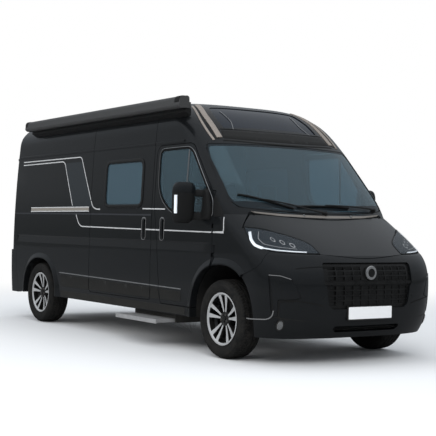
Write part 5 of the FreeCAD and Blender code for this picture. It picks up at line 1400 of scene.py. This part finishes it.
def add_nose_details():
    c, s = circle(72)
    ring = np.column_stack([np.full(72, BADGE_FACE), BADGE_R * c, BADGE_Z + BADGE_R * s])
    add_piece("badge_ring", *carried(ring, AHEAD, capsule(0.0085, 0.0050, 4, 2.4), True),
              "body", BRIGHT)
    flat_plate("plate_holder_front", (2.9800, 0.0, 0.470), 0.272, 0.066, 0.0125, TRIM, 0.012)
    flat_plate("plate_front", (2.9910, 0.0, 0.472), 0.260, 0.055, 0.0040, BLANK)
    skin_bead("bumper_crease", [(2.882, -0.783, 0.872), (2.939, -0.559, 0.889),
                                (2.975, -0.250, 0.892)], rail_profile(0.004, 0.0008), SEAL,
              0.1)
    slats = []
    for z in (0.318, 0.336):
        path = onto_skin(np.linspace((2.93, -0.400, z), (2.93, 0.400, z), 41))
        path = path - outward(path) * 0.012
        slats.append(carried(path, UPWARDS, capsule(0.007, 0.0035, 2)))
    add_piece("intake_slats", *joined(slats), "body", GLOSS)
    for k, y in ((0, -0.528), (3, 0.528)):
        place = onto_skin([(2.95, y, 0.62)])
        add_button("park_sensor_%d" % k, place[0], outward(place)[0], SENSOR, 20, 0.0,
                   ("bumper_paint", BUMPER))


def add_awning_trim():
    """End caps of the awning's case, and the dark adapter that carries it on the roof's edge,
    which also stands in for the shade under the case.
    """
    low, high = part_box("awning")
    depth = high.z - low.z
    centre = (low.y + depth * 0.52, (low.z + high.z) / 2)
    c, s = circle(48)
    size = (np.abs(c) ** 3 + np.abs(s) ** 3) ** (1 / 3)
    section = np.stack([c / size, s / size], axis=1) * (depth / 2 - 0.0004)
    for name, start, end in (("front", 1.262, high.x - 0.0005), ("rear", low.x + 0.0005, -2.290)):
        places = [start, start + 0.004, (start + end) / 2, end - 0.012, end]
        sections = [section * reach + centre for reach in (0.985, 1.0, 1.0, 1.0, 0.93)]
        add_piece("awning_cap_" + name, *along_x(places, sections), "body", TRIM)
    # Dark adapter strip under the case: partly the adapter, partly painted shade where the case
    # meets the roof
    lip = np.array([(0.0, 0.004), (-0.030, 0.004), (-0.030, -0.030), (0.035, -0.068),
                    (0.035, 0.004)]) + (low.y + depth * 0.96, low.z)
    add_piece("awning_adapter_and_shade",
              *along_x(np.linspace(low.x + 0.02, high.x - 0.02, 40), [lip] * 40), "body", TRIM)


# Padded pieces
def round_box(cells, half, radius, ease=1.0):
    """Points of a box with rounded edges, each face a grid of cells that crowd towards its
    edges with an ease below one, and its quads."""
    line = np.linspace(-1, 1, cells)
    line = np.sign(line) * np.abs(line) ** ease
    a, b = (g.reshape(-1) for g in np.meshgrid(line, line, indexing="ij"))
    blocks, faces = [], []
    quads = grid_faces(cells, cells)
    for axis in range(3):
        for way in (-1, 1):
            p = np.empty((len(a), 3))
            p[:, axis], p[:, (axis + 1) % 3], p[:, (axis + 2) % 3] = way, a, b
            first = len(blocks) * len(a)
            faces += [[i + first for i in (q if way > 0 else q[::-1])] for q in quads]
            blocks.append(p)
    p = np.concatenate(blocks) * half
    core = np.clip(p, -(half - radius), half - radius)
    away = p - core
    norm = np.linalg.norm(away, axis=1, keepdims=True)
    return core + away / np.maximum(norm, 1e-9) * np.where(norm > 0, radius, 0), faces


def pad(name, origin, along, across_way, half, radius, crown, channels, look,
        cells=28):
    """Cushion: a box of those half sizes with round edges whose faces swell as a product of
    parabolas, whose sides pull in between the corners, and whose top sinks along the
    channels given as (axis, place, depth, width)."""
    along, across_way = (np.asarray(v, float) / np.linalg.norm(v) for v in (along, across_way))
    half = np.asarray(half, float)
    p, faces = round_box(cells, half, radius, 0.8)
    u, v, w = (p[:, k] / half[k] for k in range(3))
    swell = (1 - u ** 2) * (1 - v ** 2)
    p[:, 2] += crown * swell * np.sign(w) * (np.abs(w) > 0.4)
    p[:, 0] *= 1 - 0.018 * (1 - v ** 2) * (1 - w ** 2)
    p[:, 1] *= 1 - 0.030 * (1 - u ** 2) * (1 - w ** 2)
    for axis, place, depth, width in channels:
        dip = depth * np.exp(-((p[:, axis] - place) / width) ** 2)
        p[:, 2] -= dip * np.clip(w * 2, 0, 1)
    welt = np.exp(-((np.abs(w) - 0.62) / 0.05) ** 2) * (np.maximum(np.abs(u), np.abs(v)) > 0.9)
    p[:, :2] *= (1 + 0.010 * welt)[:, None]
    placed = (np.asarray(origin) + p[:, :1] * along + p[:, 1:2] * across_way
              + p[:, 2:] * np.cross(along, across_way))
    piece = add_piece(name, placed, faces, "body", look, sharp=70, fix=False)
    fix_normals(piece, weld=0.0002)
    piece.data.polygons.foreach_set("use_smooth", [True] * len(piece.data.polygons))
    return piece


def add_seat(name, x, y, half, base):
    """Seat on its box: cushion, raked back and headrest on two posts; returns the cushion."""
    cushion = pad("seat_cushion_" + name, (x + 0.268, y, base + 0.082), (1, 0, -0.02),
                  (0, 1, 0), (0.252, half - 0.012, 0.062), 0.045, 0.018,
                  [(1, -half * 0.52, 0.012, 0.012), (1, half * 0.52, 0.012, 0.012),
                   (0, 0.10, 0.008, 0.010)], CLOTH)
    pad("seat_back_" + name, (x - 0.012, y, base + 0.400), (-0.120, 0, 0.600), (0, -1, 0),
        (0.290, half - 0.015, 0.052), 0.042, 0.016,
        [(1, -half * 0.55, 0.012, 0.012), (1, half * 0.55, 0.012, 0.012),
         (0, -0.10, 0.008, 0.010), (0, 0.12, 0.008, 0.010)], CLOTH)
    pad("seat_headrest_" + name, (x - 0.092, y, base + 0.798), (-0.02, 0, 0.2), (0, -1, 0),
        (0.092, 0.122, 0.038), 0.034, 0.010, [(0, 0.0, 0.004, 0.010)], CLOTH, cells=20)
    posts = [carried(np.linspace((x - 0.078, y + way, base + 0.64),
                                 (x - 0.088, y + way, base + 0.74), 6),
                     AHEAD, capsule(0.006, 0.006, 3))
             for way in (-0.055, 0.055)]
    add_piece("seat_posts_" + name, *joined(posts), "body", ("steel", STEEL))
    low = np.array([x + 0.042, y - half + 0.042, 0.5302])
    high = np.array([x + 0.438, y + half - 0.042, base + 0.018])
    points, faces = round_box(7, (high - low) / 2, 0.018)
    box = add_piece("seat_box_" + name, points + (high + low) / 2, faces, "body",
                    ("dash_black", DASH), sharp=60, fix=False)
    fix_normals(box, weld=0.0001)
    return cushion


def add_seats():
    """Cab seats, bench and mattress."""
    driver = add_seat("driver", 0.848, 0.460, 0.250, 0.800)
    add_seat("passenger", 0.848, -0.460, 0.250, 0.800)
    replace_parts(driver, "cab_seats")
    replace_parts(add_seat("bench", -0.030, 0.520, 0.380, 0.850), "bench_seat")
    low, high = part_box("mattress")
    half, middle = (high - low) / 2, (high + low) / 2
    channels = [(0, x, 0.004, 0.010) for x in np.linspace(-half.x * 0.8, half.x * 0.8, 9)]
    channels += [(1, y, 0.004, 0.010) for y in np.linspace(-half.y * 0.84, half.y * 0.84, 11)]
    bed = pad("bed_mattress", middle, (1, 0, 0), (0, 1, 0),
              (half.x - 0.004, half.y - 0.006, half.z - 0.006), 0.030, 0.006, channels,
              ("mattress_cloth", MATTRESS), cells=90)
    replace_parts(bed, "mattress")


# Tail: window seals, pressings, handle, plate and its lamp
BEHIND_TAIL, RAY_MARGIN, STEP_AWAY = -3.2, 0.06, 0.045


def tail_surface(node):
    """Surface of a rear solid for (y, z) outlines: a plane bowed both ways, fitted to where
    rays from behind meet it."""
    low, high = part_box(node)
    levels = (np.linspace(low[k] + RAY_MARGIN, high[k] - RAY_MARGIN, 6) for k in (1, 2))
    y, z = (g.reshape(-1) for g in np.meshgrid(*levels, indexing="ij"))
    met = [nodes[node].ray_cast(Vector((BEHIND_TAIL, *at)), Vector(AHEAD))
           for at in zip(y, z)]
    hits = np.array([tuple(row[1]) for row in met if row[0]])
    hits = hits[np.abs(hits[:, 0] - np.median(hits[:, 0])) < STEP_AWAY]

    def terms(y, z):
        return np.stack([np.ones(len(y)), y, z, y ** 2, z ** 2], axis=1)

    fit = np.linalg.lstsq(terms(hits[:, 1], hits[:, 2]), hits[:, 0], rcond=None)[0]

    def place(yz):
        return np.column_stack([terms(yz[:, 0], yz[:, 1]) @ fit, yz])
    return place


def box_path(low_y, high_y, low_z, high_z, radius):
    return closed_path([(low_y, low_z), (high_y, low_z), (high_y, high_z), (low_y, high_z)],
                       radius)


# Patches of each rear door: name, box in y and z, corner, look, top, bottom, bevel and step
TAIL_PATCHES = {
    -1: (("rear_handle_plate", (-0.115, -0.035, 1.060, 1.240), 0.02, TRIM, 0.004, -0.003,
          0.004, 0.02),
         ("rear_handle_grip", (-0.095, -0.055, 1.085, 1.215), 0.018, GLOSS_TRIM, 0.0085, 0.002,
          0.005, 0.012)),
    1: (("plate_holder_rear", (0.155, 0.699, 0.860, 0.992), 0.012, TRIM, 0.004, -0.003, 0.003,
         0.03),
        ("plate_rear", (0.167, 0.687, 0.871, 0.981), 0.010, BLANK, 0.0065, 0.002, 0.0015, 0.03),
        ("plate_lamp_bar", (0.150, 0.704, 1.008, 1.048), 0.015, GLOSS_TRIM, 0.0085, -0.003,
         0.006, 0.02))}


def add_tail(name, side):
    body = "door_rear_" + name
    surface = tail_surface("rear_door_" + name)
    low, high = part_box("rear_glass_" + name)
    add_bead("rear_seal_" + name, box_path(low.y, high.y, low.z, high.z, 0.06), surface,
             [(-0.014, -0.006), (0.014, -0.006), (0.012, 0.002), (-0.012, 0.002)], body, SEAL)
    edges = sorted((side * 0.09, side * 0.80))
    for k, levels in enumerate(((0.640, 1.250), (1.985, 2.150))):
        add_bead("rear_press_%d_%s" % (k, name), box_path(*edges, *levels, 0.05), surface,
                 [(-0.010, -0.003), (0.010, -0.003), (0.004, 0.0012), (-0.004, 0.0012)], body,
                 PAINTED)
    for label, box, corner, look, top, bottom, bevel, step in TAIL_PATCHES[side]:
        add_patch(label, box_path(*box, corner), surface, body, look, top, bottom, bevel, step)


# Assembly
def dress_nodes():
    """Every solid gets the finish of its slot, or its own."""
    for row in frame["record"]["subparts"]:
        node = row["node"]
        for place in nodes[node].material_slots:
            place.material = NODE_FINISHES.get(node, FINISHES[row["material_slot"]])


def add_floor():
    """Plain pale floor that runs out of sight and looks dark to glossy rays."""
    bpy.ops.mesh.primitive_circle_add(radius=60.0, vertices=64, fill_type="NGON")
    floor = bpy.context.object
    floor.name = "studio_floor"
    material, tree, shader = start_material("studio_floor", Roughness=0.9)
    reach = put(tree, "ShaderNodeVectorMath", {0: on_object(tree)},
                operation="LENGTH").outputs["Value"]
    far = spread(tree, reach, 0.0, 1.0, 3.5, 11.0, interpolation_type="SMOOTHSTEP")
    ray = put(tree, "ShaderNodeLightPath").outputs
    seen = math_node(tree, "MULTIPLY", far, ray["Is Camera Ray"])
    feed(tree, shader, Base_Color=blend(tree, ray["Is Glossy Ray"], grey(0.80), grey(0.16)))
    glow = put(tree, "ShaderNodeEmission", {"Color": (1, 1, 1, 1), "Strength": 1.0})
    mix = put(tree, "ShaderNodeMixShader", {0: seen, 1: shader.outputs[0], 2: glow.outputs[0]})
    tree.links.new(mix.outputs[0], tree.nodes["Material Output"].inputs["Surface"])
    floor.data.materials.append(material)


SKY = [(0.0, (0.13, 0.14, 0.135, 1)), (0.08, (0.42, 0.44, 0.46, 1)),
       (0.30, (0.60, 0.65, 0.70, 1)), (0.60, (0.95, 1.00, 1.06, 1))]
# Panels of light: name, place, target, size in metres and power in watts
PANELS = (("key_panel", (9.0, -6.0, 6.5), (0.5, 0.0, 1.0), (7.0, 4.0), 420.0),
          ("side_panel", (-2.0, -9.0, 4.5), (0.0, 0.0, 1.2), (9.0, 3.0), 260.0),
          ("top_panel", (0.0, 0.0, 8.0), (0.0, 0.0, 0.0), (6.0, 3.0), 120.0))


def add_light(name, place, target, size, power):
    data = bpy.data.lights.new(name, "AREA")
    data.shape = "RECTANGLE"
    data.size, data.size_y = size
    data.energy = power
    light = bpy.data.objects.new(name, data)
    light.location = place
    way = Vector(target) - Vector(place)
    light.rotation_euler = way.to_track_quat("-Z", "Y").to_euler()
    light.visible_glossy = False
    bpy.context.scene.collection.objects.link(light)


def light_studio():
    """Soft overcast light: a bright dome that is darker at the horizon, white to the camera
    and dimmer in reflections, and three panels."""
    world = bpy.data.worlds.new("studio")
    bpy.context.scene.world = world
    world.use_nodes = True
    tree = world.node_tree
    up = put(tree, "ShaderNodeSeparateXYZ",
             {0: put(tree, "ShaderNodeTexCoord").outputs["Generated"]}).outputs["Z"]
    sky = put(tree, "ShaderNodeValToRGB", {"Fac": up})
    for level in (0.3, 0.6):
        sky.color_ramp.elements.new(level)
    for place, (level, colour) in zip(sky.color_ramp.elements, SKY):
        place.position = level
        place.color = colour
    sky.color_ramp.interpolation = "EASE"
    ray = put(tree, "ShaderNodeLightPath").outputs
    seen = math_node(tree, "MAXIMUM", ray["Is Camera Ray"], ray["Is Transmission Ray"])
    dimmed = math_node(tree, "MULTIPLY", ray["Is Glossy Ray"], 0.5)
    feed(tree, tree.nodes["Background"],
         Color=blend(tree, seen, sky.outputs[0], (1.0, 1.0, 1.0, 1)),
         Strength=math_node(tree, "SUBTRACT", 1.0, dimmed))
    for row in PANELS:
        add_light(*row)


def build():
    dress_nodes()
    for name, side in SIDES:
        for add in (add_stripes, add_mirror, add_headlamp, add_fascia, add_window_trims,
                    add_forehead, add_cladding, add_tail):
            add(name, side)
    add_bare_panel()
    add_windscreen_trim()
    add_wipers()
    add_nose_details()
    add_awning_trim()
    add_seats()
    for wheel in WHEELS:
        add_tyre(*wheel)
        add_wheel(*wheel)
    add_floor()
    light_studio()
    set_camera()
    bpy.context.scene.view_settings.view_transform = "Standard"


build()
